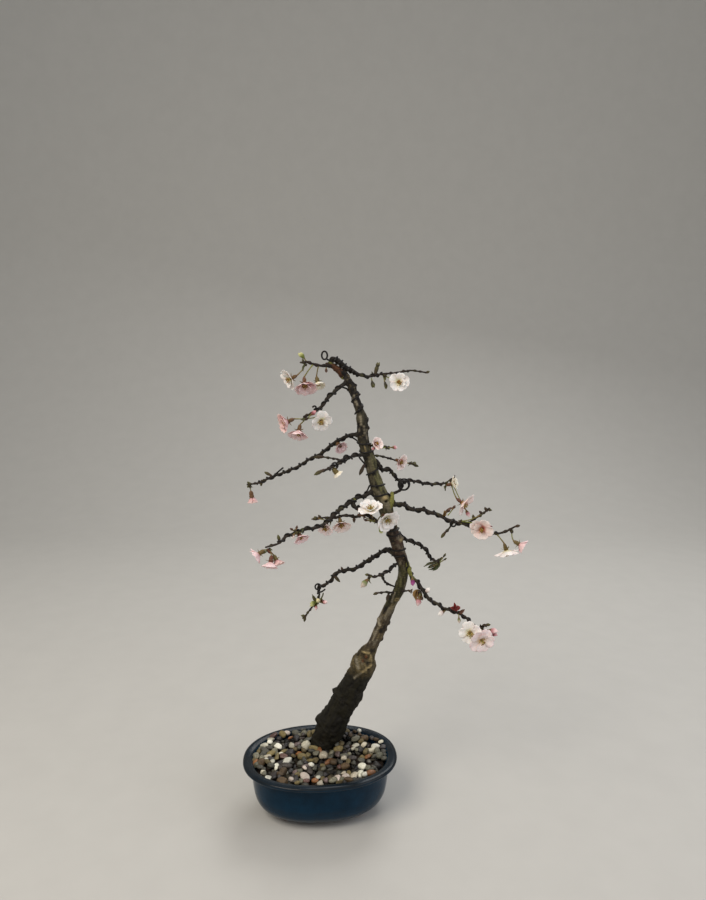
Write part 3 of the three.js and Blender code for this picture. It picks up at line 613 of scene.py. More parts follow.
def turned(outline, settings, around=POT_AROUND):
    """A closed oval body from an outline that starts and ends on its axis."""
    inner = outline[1:-1]
    angle = np.linspace(0, TURN, around, endpoint=False)[None, :]
    x, y = oval_points(inner[:, :1], angle, settings)
    rings = np.stack([x, y, np.broadcast_to(inner[:, 1:], x.shape)], axis=-1).reshape(-1, 3)
    poles = np.array([[0, 0, outline[0, 1]], [0, 0, outline[-1, 1]]])
    return np.vstack([rings, poles]), ring_faces(len(inner), around)


def glaze_tints(outline, points, settings):
    """Dark where the glaze is thick, browner where it thins over an edge."""
    ahead = np.diff(outline, axis=0)
    heading = np.unwrap(np.arctan2(ahead[:, 1], ahead[:, 0]))
    turning = np.diff(heading) / np.maximum(np.linalg.norm(ahead[1:], axis=1), 0.3)
    turning = np.convolve(np.clip(turning, 0, 1), np.ones(3) / 3, mode="same")
    thin = np.concatenate([np.repeat(np.clip(turning * 1.4, 0, 1), POT_AROUND), [0, 0]])
    thin = thin * (0.75 + 0.5 * noise(points, 9, 5))
    thin = thin + smooth_step(points[:, 2], THIN_FROM, THIN_TO) * (1.1 + 0.3 * noise(points, 14, 6))
    tints = mixed(settings.glaze, settings.thin_glaze, thin * 0.7)
    return mixed(tints, settings.clay, smooth_step(-points[:, 2], -1.5, 0.5) * 0.5)


def pot_foot(angle, settings):
    """A low foot with rounded edges under the bowl, following its oval."""
    steps = np.linspace(-1, 1, FOOT_RINGS)[:, None]
    size = np.maximum((1 - np.abs(steps) ** 7) ** 0.5, 0.04)
    turn = np.linspace(0, TURN, FOOT_AROUND, endpoint=False)[None, :]
    half = FOOT_MIDDLE + FOOT_HALF * signed_power(np.cos(turn), FOOT_POWER) * size
    x, y = oval_points(half, angle + steps * FOOT_SWEEP / 2, settings)
    z = FOOT_LEVEL + FOOT_RISE * signed_power(np.sin(turn), FOOT_POWER) * np.maximum(size, 0.5)
    rings = np.stack([x, y, z], axis=-1)
    poles = np.stack([rings[0].mean(0), rings[-1].mean(0)])
    return np.vstack([rings.reshape(-1, 3), poles]), ring_faces(FOOT_RINGS, FOOT_AROUND)


def build_pot(settings):
    outline = rounded_outline(WALL)
    points, faces = turned(outline, settings)
    wobble = 0.14 * noise(points, 30, 3) + 0.05 * noise(points, 7, 4)
    points = points + unit(points * [1, 1, 0]) * wobble[:, None]
    bowl = closed_object("glazed_bowl", points, faces, glaze_tints(outline, points, settings))
    feet = []
    for angle in FOOT_ANGLES:
        points, faces = pot_foot(angle, settings)
        bare = smooth_step(-points[:, 2], 2.2, 3.0)
        feet.append(closed_object("foot", points, faces, mixed(settings.glaze, settings.clay, bare)))
    combined(bowl, feet)
    drains = []
    for side in (-DRAIN_OFFSET, DRAIN_OFFSET):
        middle = np.array([side * math.cos(POT_YAW), side * math.sin(POT_YAW), FLOOR_TOP])
        route = np.linspace(middle - [0, 0, 14], middle + [0, 0, 10], 8)
        drains.append(closed_object("drain", *tube(route, DRAIN_RADIUS, DRAIN_SIDES)[:2], settings.clay))
    combined(bowl, drains, "DIFFERENCE")
    bowl.data.materials.append(glazed_stoneware())
    bowl.data.materials.append(bare_stoneware())
    for face in bowl.data.polygons:
        face.material_index = int(face.center.z / MM - BOWL_MIDDLE[2] < BARE_BELOW)
    as_piece(bowl, "glaze", "pot")


def build_screens():
    material = moulded_screen()
    for side in ("left", "right"):
        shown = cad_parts[f"drain_screen_{side}"]
        shown.data.materials.clear()
        shown.data.materials.append(material)


# ------------------------------------------------------------------ soil and pebbles

SOIL_TOP, SOIL_BACK_RISE, SOIL_AROUND = 41.0, 3.5, 140
SOIL_EDGE = [(0, 6.4, 0), (48.4, 6.4, 4), (56.4, 13, 8), (61, 33, 10), (63, SOIL_TOP, 3)]
# The size of each kind's mottling, how dark and how light that goes, how rough it is polished,
# its share of the scattered stones, and its colours
STONE_KINDS = {
    "quartz": (3.2, 0.8, 1.1, 0.42, 0.12, ["dcd9c4", "c9c3ac", "e4e1cf", "bdb39c", "cdbfb0"]),
    "sandstone": (2.2, 0.7, 1.2, 0.7, 0.34, ["6f6138", "5f5231", "7d6f45", "574327"]),
    "granite": (1.4, 0.6, 1.35, 0.6, 0.32, ["62604c", "504e41", "78745f", "444238"]),
    "slate": (2.6, 0.7, 1.25, 0.55, 0.16, ["2d2826", "352c26", "3d352d", "231f1d"]),
    "jasper": (2.4, 0.7, 1.2, 0.45, 0.06, ["5d4036", "6b5a55", "555a36", "8a5a30"]),
}
# Stones that stand out: their kind, then where each lies on the bed and its size
PLACED_STONES = [
    (
        "quartz",
        [
            (-48, 32, 4.1), (-33, 49, 2.6), (-56, 17, 3.5), (-43, 15, 3.5), (-53, -26, 2.8), (-32, -8, 3.9),
            (-15, 17, 5.5), (3, 4, 4.9), (-8, -14, 2.9), (-13, -33, 4.7), (-25, -38, 2.8), (17, -35, 3.7),
            (25, -33, 3.3), (33, -31, 4.7), (39, -26, 3.3), (41, -14, 4.3), (43, 17, 3.0), (55, 16, 4.0),
            (32, 11, 2.5), (12, 30, 2.6), (38, 40, 2.6), (62, 25, 2.2),
        ],
    ),
    ("sandstone", [(-40, 35, 3.6), (-49, 5, 3.9), (14, -10, 3.4)]),
    ("jasper", [(-63, -7, 2.9), (-3, -40, 2.8)]), ("granite", [(23, 2, 3.9)]),
    ("jasper", [(7, -40, 2.8), (-24, 17, 3.0), (19, -17, 2.4)]),
]
# The buried layer, then the top one: how many stones are scattered, their smallest and largest
# size, how deep they lie, how much light reaches them, and which are placed first
STONE_LAYERS = [(230, 2.4, 3.8, 3.9, 0.2, []), (165, 2.2, 4.6, 0.0, 1.0, PLACED_STONES)]
STONE_SEED = 23
STREWN_HALF, BED_HALF = 64.0, 66.2  # half lengths of the oval they are strewn on, and kept in
SETTLE_STEPS, SETTLE_PUSH, STONE_CLOSENESS = 90, 0.25, 0.88
TRUNK_ROOM = 13.5  # the stones keep this far from the middle of the trunk
BED_LEVEL, BACK_RISE, LEFT_RISE, MOUND_REACH = 49.6, 4.0, 1.2, 24
LARGE_STONE = 3.1  # larger ones are modelled with finer faces


def build_soil(settings):
    outline = rounded_outline([*SOIL_EDGE, (0, SOIL_TOP, 0)])
    flat = [(reach, SOIL_TOP) for reach in np.linspace(58, 2, 40)]
    outline = np.vstack([outline[:-1], flat, outline[-1:]])
    points, faces = turned(outline, settings, SOIL_AROUND)
    top = smooth_step(points[:, 2], SOIL_TOP - 3, SOIL_TOP)
    points[:, 2] += top * (1.1 * rough(points, 5, 8) + 0.5 * rough(points, 1.8, 9))
    points[:, 2] += top * SOIL_BACK_RISE * smooth_step(points[:, 1], 2, 40)
    shell = Shell()
    shell.add(points, faces, mixed(SOIL_DARK, SOIL_DARK * 1.9, 0.5 + 0.5 * noise(points, 6, 2)))
    piece("potting_mix", shell, [potting_soil()], "soil", "soil")


def heap_height(x, y):
    """How high the tops of the stones lie: heaped at the back and the left, and at the trunk."""
    mound = np.exp(-(np.hypot(x - TRUNK_FOOT[0], y - TRUNK_FOOT[1]) / MOUND_REACH) ** 2)
    level = BED_LEVEL + BACK_RISE * smooth_step(y, 0, 36) + LEFT_RISE * smooth_step(-x, 25, 60)
    return level + mound + 0.5 * np.cos(x / 17)


def settled(spots, sizes, fixed, settings):
    """Pushes stones apart, away from the trunk and in from the pot's wall; the first ones stay."""
    for _ in range(SETTLE_STEPS):
        gap = spots[:, None] - spots[None, :]
        distance = np.linalg.norm(gap, axis=-1) + 1e-6
        wanted = (sizes[:, None] + sizes[None, :]) * STONE_CLOSENESS
        push = np.clip(wanted - distance, 0, None) * SETTLE_PUSH
        np.fill_diagonal(push, 0)
        moved = spots + (gap / distance[..., None] * push[..., None]).sum(1)
        from_trunk = moved - TRUNK_FOOT[:2]
        away = np.linalg.norm(from_trunk, axis=1)
        short = np.clip(TRUNK_ROOM + sizes * 0.8 - away, 0, None)
        moved += from_trunk / away[:, None] * short[:, None]
        angle = np.arctan2(moved[:, 1], moved[:, 0]) - POT_YAW
        edge = np.stack(oval_points(BED_HALF - sizes, angle, settings), -1)
        outside = np.hypot(*moved.T) > np.hypot(*edge.T)
        moved[outside] = edge[outside]
        spots[fixed:] = moved[fixed:]
        spots[outside] = moved[outside]
    return spots


def stone_shape(size, random):
    """A tumbled stone with a few worn flats: points about its middle, and faces."""
    ball, faces = BALLS[3 if size > LARGE_STONE else 2]
    points = signed_power(ball, random.uniform(0.7, 1.0))
    for _ in range(random.integers(3, 7)):
        direction = unit(random.normal(size=3))
        over = np.clip(points @ direction - random.uniform(0.5, 0.8), 0, None)
        points = points - direction * over[:, None] * 0.92
    shift = random.uniform(-50, 50, 3)
    points = points * (1 + 0.1 * noise(points + shift, 0.9) + 0.04 * noise(points + shift, 0.35))[:, None]
    stretch = [random.uniform(1.05, 1.55), random.uniform(0.8, 1.05), random.uniform(0.6, 0.8)]
    spin = Matrix.Rotation(random.uniform(0, ANY_TURN), 3, "Z")
    tilt = Matrix.Rotation(random.normal(0, 0.3), 3, "X")
    return points * stretch * size @ np.array(spin @ tilt).T, faces


def build_gravel(settings):
    random = np.random.default_rng(STONE_SEED)
    shells = {kind: Shell() for kind in STONE_KINDS}
    chances = [facts[4] for facts in STONE_KINDS.values()]
    for count, low, high, depth, light, groups in STONE_LAYERS:
        placed = [(*stone, kind) for kind, stones in groups for stone in stones]
        sizes = low + (high - low) * random.beta(1.5, 2.4, count)
        spread = np.sqrt(random.uniform(0.01, 1, count))
        x, y = oval_points(np.full(count, STREWN_HALF), random.uniform(0, TURN, count), settings)
        spots = np.vstack([*[stone[:2] for stone in placed], np.stack([x * spread, y * spread], -1)])
        sizes = np.concatenate([[stone[2] for stone in placed], sizes])
        kinds = [stone[3] for stone in placed] + list(random.choice(list(STONE_KINDS), count, p=chances))
        for (x, y), size, kind in zip(settled(spots, sizes, len(placed), settings), sizes, kinds):
            colour = linear(random.choice(STONE_KINDS[kind][5])) * random.uniform(0.6, 1.1) * light
            points, faces = stone_shape(size, random)
            z = heap_height(x, y) - depth + random.uniform(-1.6, 0.4) - points[:, 2].max()
            shells[kind].add(points + [x, y, z], faces, colour)
    for kind, shell in shells.items():
        material = tumbled_stone(f"{kind}_river_tumbled", *STONE_KINDS[kind][:4])
        piece(f"pebbles_{kind}", shell, [material], "gravel", "gravel")


# ------------------------------------------------------------------ tree routes

# A limb is its radii from foot to tip, then the points that it grows through
TRUNK = Limb(
    [
        11, 15, 14, 15, 13, 14, 12.2, 11.8, 11.5, 8.5, 5.4, 5.5, 5.6, 5, 5.4, 5.1, 5, 5.8, 5.5, 5.7, 5.8,
        7.4, 6.6, 5.3, 5.2, 5, 5.2, 5.4, 3.7, 3.5, 3.5, 3.5, 3.3,
    ],
    [
        [2, 24, 26], [3, 25, 42], [6, 25, 54], [11, 23, 68], [17, 21, 82], [25, 20, 96], [31, 18, 110],
        [38, 16, 124], [43, 15, 137], [46, 14, 147], [51, 13, 156], [56, 12, 167], [61, 11, 180],
        [69, 10, 200], [75, 9, 211], [79, 8, 224], [80, 7, 237], [76, 6, 251], [73, 6, 262], [69, 5, 273],
        [66, 5, 282], [61, 4, 300], [55, 4, 314], [50, 3, 330], [46, 3, 344], [42, 2, 356], [41, 2, 367],
        [40, 1, 378], [38, 1, 386], [35, 1, 395], [32, 0, 404], [28, 0, 413], [23, 0, 421],
    ],
)
TRUNK_FOOT = TRUNK.points[1]

BRANCHES = {
    "leader": Limb([3, 2.8, 2, 1.2], [[23, 0, 418], [18, -2, 423.5], [13, -3, 427], [9, -4, 428.5]]),
    "crown_left": Limb(
        [1.4, 0.8],
        [[14, -3, 427], [6, -6, 427], [1, -9, 427.5], [-5, -11, 429], [-9, -13, 430.5], [-14, -15, 430]],
    ),
    "crown_right": Limb(
        [1.5, 2.3, 2.4, 2.2, 1.9, 1.4, 1.1, 0.9, 0.8, 0.8, 0.7],
        [
            [12, -4, 430], [13, -4, 433], [18, -3, 431.5], [24, -1, 426.5], [30, 1, 423], [37, 3, 419],
            [45, 6, 417], [59, 11, 419], [71, 15, 420], [86, 20, 422], [101, 25, 420],
        ],
    ),
    "left_upper": Limb(
        [1.7, 0.9],
        [
            [27, 0, 413], [18, -6, 406], [9, -11, 398], [6, -14, 393], [1, -17, 389], [-6, -22, 385],
            [-11, -25, 383],
        ],
    ),
    "left_long": Limb(
        [1.8, 0.8],
        [
            [39, 2, 364], [30, 6, 363], [21, 10, 359], [11, 16, 352], [1, 21, 343], [-9, 26, 338],
            [-22, 32, 329], [-39, 40, 321], [-52, 45, 315], [-64, 50, 309.5], [-74, 54, 307.5],
        ],
    ),
    "left_short": Limb(
        [1.6, 0.8],
        [[45, 2, 345], [33, -9, 346], [24, -19, 343], [14, -30, 339], [9, -37, 338], [1, -45, 336]],
    ),
    "left_short_twig": Limb([0.8, 0.7], [[24, -18, 343], [14, -6, 343], [4, 4, 343]]),
    "left_middle": Limb(
        [2, 0.9],
        [
            [54, 4, 314], [43, -3, 308], [36, -7, 307], [29, -11, 303], [17, -20, 296], [8, -27, 288],
            [-2, -33, 285], [-10, -38, 285], [-19, -44, 283], [-26, -48, 281], [-31, -53, 277],
            [-42, -60, 275],
        ],
    ),
    "left_middle_fork": Limb(
        [1.2, 1.4, 2.2, 2.2, 1.2],
        [[33, -10, 305], [33, -13, 300], [37, -15, 298], [45, -16, 293], [54, -17, 287]],
    ),
    "left_middle_twig": Limb(
        [1.4, 0.8],
        [
            [42, -15, 294], [34, -17, 291], [29, -18, 292.5], [22, -19, 292.5], [16, -20, 291],
            [8, -21, 291.5], [2, -22, 291],
        ],
    ),
    "left_low": Limb(
        [2.1, 0.8],
        [
            [74, 6, 249], [68, 8, 251], [64, 10, 253], [57, 13, 248], [43, 19, 237], [34, 23, 230],
            [27, 26, 228], [14, 31, 222], [11, 33, 216], [5, 36, 210], [-3, 39, 205], [-2, 41, 197],
            [-8, 45, 185], [-17, 50, 171],
        ],
    ),
    "left_small": Limb(
        [1.3, 0.8],
        [[78, 6, 242], [71, -1, 241], [66, -8, 238], [57, -18, 237], [51, -24, 237], [46, -30, 241]],
    ),
    "left_small_fork": Limb([0.9, 0.8], [[58, -18, 237], [62, -12, 228], [70, -6, 222]]),
    "left_stub": Limb([1, 0.7], [[74, 8, 211], [67, 2, 213], [63, -2, 215], [55, -10, 217]]),
    "right_stub": Limb([1, 0.7], [[75, 8, 213], [81, 4, 214], [85, 2, 215]]),
    "right_twig_high": Limb([0.9, 0.7], [[44, 2, 354], [52, 8, 353], [56, 11, 353], [63, 16, 351]]),
    "right_twig": Limb(
        [0.9, 0.6], [[47, 2, 343], [52, 6, 344], [63, 14, 341], [72, 23, 337], [90, 28, 332]],
    ),
    "right_upper": Limb(
        [1.8, 0.8],
        [
            [48, 2, 340], [54, 5, 339], [58, 8, 331], [67, 12, 329], [71, 15, 323], [78, 19, 317],
            [88, 23, 317], [102, 29, 313], [111, 32, 312], [122, 37, 312], [129, 40, 316],
        ],
    ),
    "right_upper_arm": Limb(
        [1.4, 1.2, 1.3], [[78, 19, 317], [77.5, 14, 310.5], [73, 10, 308.5], [69, 5, 308], [66, 3, 306]],
    ),
    "right_upper_knee": Limb(
        [1.2, 2, 1.9, 1.2], [[68.5, 3, 309], [68.5, 0, 305], [67.5, -1, 299], [65, 0, 292]],
    ),
    "right_middle": Limb(
        [2.1, 0.8],
        [
            [61, 4, 299], [70, 0, 299], [78, -4, 300], [87, -9, 296], [96, -13, 297], [102, -16, 295],
            [109, -20, 294], [115, -24, 291], [124, -29, 289], [135, -34, 288], [144, -39, 286],
            [154, -45, 283], [161, -49, 285], [171, -55, 292],
        ],
    ),
    "right_middle_fork": Limb(
        [0.9, 0.7], [[132, -33, 288], [138, -38, 294], [146, -42, 301], [150, -44, 305]],
    ),
    "right_middle_drop": Limb([0.8, 0.7], [[121, -27, 290], [119, -28, 285], [114, -30, 280]]),
    "right_short": Limb(
        [1.6, 1],
        [
            [71, 5, 266], [78, 9, 264], [89, 15, 259], [97, 20, 254], [104, 24, 247], [107, 28, 240],
            [115, 32, 235], [120, 35, 237],
        ],
    ),
    "right_low": Limb(
        [1.9, 0.8],
        [
            [78, 6, 243], [83, 4, 241], [87, -2, 230], [92, -5, 226], [98, -10, 218], [104, -14, 211],
            [110, -17, 209], [115, -20, 206], [124, -25, 205], [134, -30, 201], [139, -33, 197],
            [146, -37, 194], [151, -40, 198],
        ],
    ),
}
LIMBS = {"trunk": TRUNK, **BRANCHES}

ROOTS = [
    Limb([9, 2], [[2, 24, 40], *way]) for way in (
        [[-14, 24, 33], [-30, 14, 22]], [[-2, 6, 32], [-10, -14, 22]],
        [[16, 10, 33], [30, -8, 22]], [[20, 26, 33], [38, 26, 22]],
    )
]

# Closed winter buds on the bark: where each begins and ends
BARK_BUDS = [
    [[101, 25, 420], [104, 26, 421]], [[52, 8, 418], [55, 9, 429]], [[6, -41, 338], [-1, -46, 335]],
    [[90, 28, 332], [95, 29, 330]], [[148, -43, 303], [146, -44, 306]],
    [[149, -43, 304], [152, -44, 303.5]], [[171, -55, 292], [174, -56, 293]],
    [[114, -30, 280], [110.5, -31, 275.5]], [[-16, 50, 172], [-20, 51, 168]],
    [[-17, 50, 171], [-18, 50, 165]], [[-17, 50, 171], [-21, 49, 172]], [[55, -10, 217], [51, -11, 216]],
    [[85, 2, 215], [88, 1, 214]], [[-31, -52, 278], [-32.5, -52, 283.5]], [[2, -22, 291], [-5, -23, 290.5]],
    [[3, -22, 291], [1, -22, 294]], [[151, -40, 198], [154, -42, 199]], [[46, -30, 241], [43, -31, 241.5]],
    [[-71, 53, 308], [-74, 54, 310]], [[-71, 53, 308], [-74, 54, 304.5]],
    [[-49, 44, 318.5], [-55.5, 46, 321.5]], [[-59, 48, 312], [-59.5, 48, 307]],
    [[42, -3, 336], [38, -7, 328]], [[66, 4, 211], [64, 2, 205]], [[33, -17.5, 291], [33, -18, 286]],
    [[41, -15, 293], [43, -14, 297]], [[48, -16, 287], [49, -14, 290]], [[13, 30, 221], [19, 29, 214.5]],
    [[22, 28, 226], [20.5, 28, 230]], [[4, 4, 343], [-4, 8, 342]], [[138, -38, 294], [137, -38, 298]],
    [[144, -41, 300], [142, -41, 302]],
]


# ------------------------------------------------------------------ bark

TRUNK_SIDES, TRUNK_STEP = 84, 0.75
BRANCH_SIDES, BRANCH_STEP = 12, 0.6
ROOT_SIDES, ROOT_STEP = 24, 1.5
COLLAR = 3.5  # how wide a branch swells where it leaves another limb
CENTRE_STEP = 0.8
KNOB_MIDDLE, KNOB_RADIUS = np.array([41, 13, 136]), 11.6  # the graft
KNOTS_APART = 6.0  # along a branch, where buds and leaves have been
BARK_SEED = 100
EVERYWHERE = 999  # higher than the tree
OLD_BARK_TOP = 134  # the stock's cracked bark begins to give way here
CROWN_BARK = 350, 366  # heights between which the crown's rougher bark sets in

# Bark up the trunk: a height and the bark that holds there
BARK_ZONES = [
    (0, BARK_LOW), (124, BARK_LOW), (133, KNOB_TAN), (150, KNOB_TAN), (158, BARK_TAN), (194, BARK_TAN),
    (208, BARK_OLIVE), (236, BARK_OLIVE), (247, BARK_RED), (272, BARK_RED), (284, BARK_OLIVE * 1.3),
    (304, BARK_GREY), (354, BARK_GREY), (362, BARK_CROWN), (371, BARK_CROWN), (377, BARK_GREY * 0.8),
    (386, BARK_GREY * 0.8), (392, BARK_CROWN),
]
# Patches on the trunk: colour, grain, seed and octaves of its noise, 1 for the noise's high spots
# or -1 for its low ones, where they begin, how strong one gets at most and how fast, and the
# heights between which they are seen with the softness of those ends
TRUNK_PATCHES = [
    (BARK_CRACK, (3.4, 3.4, 6), 75, 3, 1, 0.12, 0.6, 1.5, (139, EVERYWHERE, 11)),
    (PALE_BARK * 0.8, (3.4, 3.4, 6), 75, 3, -1, 0.2, 0.5, 1.3, (139, EVERYWHERE, 11)),
    (CALLUS * 0.7, (2, 2, 11), 73, 1, 1, 0.3, 1, 1.3, (156, 200, 8)),
    (LICHEN * 0.55, (4, 4, 6), 74, 1, 1, 0.25, 1, 1, (196, 240, 8)),
    (CALLUS * 0.55, (2.6, 2.6, 0.8), 41, 1, 1, 0.4, 1, 1, (165, EVERYWHERE, 15)),
]


def streak(start, end, radius, height, colour, count=5):
    """Marks in a row that run together."""
    return [(spot, radius, 1, height, colour) for spot in np.linspace(start, end, count)]


# Marks on the trunk: middle, radius, how much longer than wide, how far raised or sunk, colour
TRUNK_MARKS = [
    *streak([35.5, 4, 146.5], [40, 4, 151], 1.3, 0.6, CALLUS * 0.9, 4),
    *streak([41, 4, 151.5], [47.5, 4, 150.5], 1.3, 0.9, CALLUS * 1.4, 5),
    *streak([49, 3, 148.5], [50.5, 3, 142], 1.3, 0.8, CALLUS * 1.1, 5),
    *streak([35, 4, 144], [37, 4, 137], 1.8, 0.5, PALE_BARK * 0.8, 4),
    ([43, 2, 146], 3.8, 1, -1.2, BARK_CRACK * 2), ([44.8, 2, 147], 1.9, 1, 2.0, HEARTWOOD * 0.3),
    ([41.5, 2, 143.5], 1.6, 0.8, 1.6, HEARTWOOD * 0.22), ([40.5, 2, 148.5], 1.3, 1, -1.6, BARK_CRACK),
    ([46.5, 2, 141], 1.8, 0.6, -1.6, BARK_CRACK),
    *streak([49.5, 3, 139], [41, 4, 133.5], 1.5, 0.6, CALLUS * 0.95, 6),
    *streak([40, 4, 132.5], [33.5, 6, 126], 1.3, 0.4, PALE_BARK * 0.7, 5),
    ([50, 4, 135], 2.6, 1.2, 0.8, KNOB_TAN * 0.9), ([46.5, 3, 135.5], 1.1, 0.7, -1.3, BARK_CRACK),
    ([14.5, 19, 105], 3.4, 0.8, 2.6, BARK_LOW), ([12.5, 19, 106.5], 1.8, 0.8, 1.4, BARK_LOW),
    ([-1.5, 22, 73], 4.2, 0.9, 3.0, BARK_LOW), ([41.5, 19, 99], 4.5, 1, 2.2, BARK_LOW),
    ([36, 18, 88], 3.5, 0.9, -1.2, BARK_LOW), ([66.8, 10, 180], 2.2, 0.9, 1.5, BARK_TAN * 0.7),
    ([63.4, 11, 173], 2.0, 0.9, 1.1, BARK_TAN * 0.7), ([60.4, 11, 163], 2.4, 0.9, 1.3, BARK_TAN * 0.6),
    # A raised pale bark ridge whose paleness is partly a painted highlight on the lit left side
    *streak([56, 9, 184.5], [57.5, 7, 179], 1.5, 0.8, PALE_BARK * 1.2, 4),
    ([73.9, 4, 205], 2.6, 0.7, 1.2, CALLUS * 0.9), ([73.9, 4, 205], 1.2, 0.7, -1.4, BARK_CRACK),
    # A low pale bark ridge whose paleness is partly a painted highlight on the lit left side
    *streak([51, 7, 163], [56, 6, 176], 0.9, 0.3, PALE_BARK, 9),
    *streak([62, 6, 186], [66.5, 5, 197], 0.9, 0.3, PALE_BARK * 0.9, 8),
    *streak([69, 4, 203], [71.5, 4, 212], 1.1, 0.3, PALE_BARK * 0.9, 6),
    *streak([77, 3, 219], [77.5, 3, 226], 1.3, 0.3, LICHEN * 0.8, 5),
    ([70.3, 0, 269.6], 3.2, 0.35, 0.9, BARK_RED * 0.5), ([77, 5, 264.2], 2.0, 1, 1.4, CALLUS * 0.9),
    ([61.8, -1, 305.6], 3.0, 0.9, 1.3, CALLUS * 1.2), ([62.5, -1, 302.3], 1.7, 1, -2.4, BARK_CRACK),
    *streak([58, -1, 313], [52, 0, 326], 1.1, 0.3, LICHEN * 0.9, 8),
    *streak([44, -3, 348], [42.5, -3, 354], 0.9, 0.3, CALLUS * 0.7, 5),
    ([46.2, 1, 370.5], 2.0, 1, 1.9, BARK_CROWN), ([45.6, 1, 378], 2.2, 1, 1.5, BARK_CROWN),
    ([39.6, 0, 389.4], 1.6, 1, 1.7, BARK_CROWN), ([37.4, 0, 401], 1.5, 1, 2.1, BARK_CROWN),
    ([34.8, 0, 409.5], 1.7, 1, 2.0, BARK_CROWN), ([29, -2, 399], 1.6, 1.2, 0.9, BARK_CROWN),
    *streak([35.5, -3, 392], [33, -3, 400], 1.2, 0.2, PALE_BARK, 4),
    *streak([38.5, -3, 381], [39.5, -3, 374], 1.4, 0.3, PALE_BARK * 0.8, 4),
    *streak([42.5, -3, 366], [42, -3, 372], 1.2, 0.3, PALE_BARK * 0.7, 3),
]
# Limbs whose skin differs from the other branches', and how far along a limb is still green
LIMB_SKINS = {
    "leader": HEARTWOOD * 0.22, "right_upper_knee": GREEN_SHOOT, "right_twig_high": BARK_CROWN * 1.4,
    "crown_left": BARK_CROWN * 1.4, "crown_right": BARK_CROWN * 1.4,
}
GREEN_REACH = {"right_low": 0.24, "right_upper_knee": 0.75}


def middle_lines():
    """Every limb's middle line in short steps: the limb's name, a spot and the radius there."""
    return [
        (name, spot, radius) for name, limb in LIMBS.items()
        for spot, radius in zip(limb.at(limb.shares(CENTRE_STEP)), limb.radius(limb.shares(CENTRE_STEP)))
    ]


def collar_relief(points, samples, own):
    """How far a limb swells close to another limb, so that they grow out of each other."""
    rest = [sample for sample in samples if sample[0] != own]
    found = search_tree([spot for _, spot, _ in rest])
    lifted = np.zeros(len(points))
    for i, point in enumerate(points):
        _, index, distance = found.find(point)
        lifted[i] = 1 - (distance - rest[index][2]) / COLLAR
    return np.clip(lifted, 0, 1) ** 2 * COLLAR * 0.22


def mark_nearness(points, middle, radius, stretch):
    """1 on a mark's middle, falling to nothing a little outside its radius."""
    away = (points - middle) / [radius, np.clip(radius * 4, 5, 8), radius * stretch]
    return np.exp(-1.3 * np.linalg.norm(away, axis=-1) ** 3)


def fissures(straight):
    """1 in the long cracks of old bark, falling to 0 on the plates between them."""
    return np.clip(1 - np.abs(rough(straight, (4.2, 4.2, 17), 21, 2)) / 0.2, 0, 1)


def marked_relief(points):
    return sum(height * mark_nearness(points, *mark) for *mark, height, _ in TRUNK_MARKS)


def trunk_relief(points, straight):
    """Long cracks and steps on the old stock, fine long ridges above the graft, knots on top."""
    height = points[:, 2]
    old = 1 - smooth_step(height, OLD_BARK_TOP, 160)
    steps = rough(straight, (9, 9, 7), 22, 3)
    pores = np.clip(noise(straight, (2.6, 2.6, 0.8), 41) - 0.4, 0, 1)
    young = 0.4 * rough(straight, (5, 5, 7), 32, 2) + 0.24 * rough(straight, (1.9, 1.9, 10), 31, 2)
    cracked = 1.1 * steps - 1.2 * fissures(straight) ** 1.5 + 0.35 * noise(straight, (5, 5, 1.7), 23)
    crown = smooth_step(height, *CROWN_BARK) * 0.7 * rough(straight, 3.4, 33, 2)
    return old * cracked + (1 - old) * (young + 0.4 * pores) + crown + marked_relief(points)


def trunk_tints(points, straight):
    """The zones of bark up the trunk, streaked lengthwise, with the marks on it."""
    height = points[:, 2]
    heights, barks = zip(*BARK_ZONES)
    up = height + 4 * noise(points, 9, 70)
    tint = np.stack([np.interp(up, heights, channel) for channel in zip(*barks)], -1)
    axis_x = np.interp(height, TRUNK.points[:, 2], TRUNK.points[:, 0])
    # Painted side light: the right half of the trunk between 296 and 350 mm is lightened towards a lichen
    # green
    painted_side_light = band(height, 296, 350, 8) * smooth_step(points[:, 0] - axis_x, 0, 4)
    tint = mixed(tint, LICHEN * 0.8, painted_side_light * 0.55)
    tint = tint * np.clip(1 + 0.5 * rough(straight, (1.7, 1.7, 12), 71, 3), 0.35, 1.8)[:, None]
    for colour, grain, seed, octaves, side, begins, most, strength, zone in TRUNK_PATCHES:
        patch = np.clip(side * rough(straight, grain, seed, octaves) - begins, 0, most) * strength
        tint = mixed(tint, colour, patch * band(height, *zone))
    old = 1 - smooth_step(height, OLD_BARK_TOP, 156)
    tint = mixed(tint, BARK_CRACK, fissures(straight) * old * 0.8)
    for *mark, _, colour in TRUNK_MARKS:
        tint = mixed(tint, colour, mark_nearness(points, *mark))
    return tint


def branch_relief(limb, seed):
    """Lengthwise ridges, and small knots where buds and leaves have been."""
    random = np.random.default_rng(seed)
    stations = np.arange(4, limb.length - 2, KNOTS_APART)
    lumps = []
    for station in stations + random.uniform(-1.5, 1.5, len(stations)):
        share = station / limb.length
        centre = limb.at(share)
        side = unit(np.cross(limb.tangent(share), random.normal(size=3)))
        lumps += [(centre, 0.22, 1.9, 4), (centre + side * limb.radius(share), 0.8, 1.0, 2)]

    def relief(points, straight):
        lift = 0.24 * rough(straight, (2, 2, 4), seed, 2) + 0.08 * noise(straight, 0.9, seed + 5)
        for middle, height, radius, power in lumps:
            lift += height * np.exp(-(np.linalg.norm(points - middle, axis=1) / radius) ** power)
        return lift

    return relief


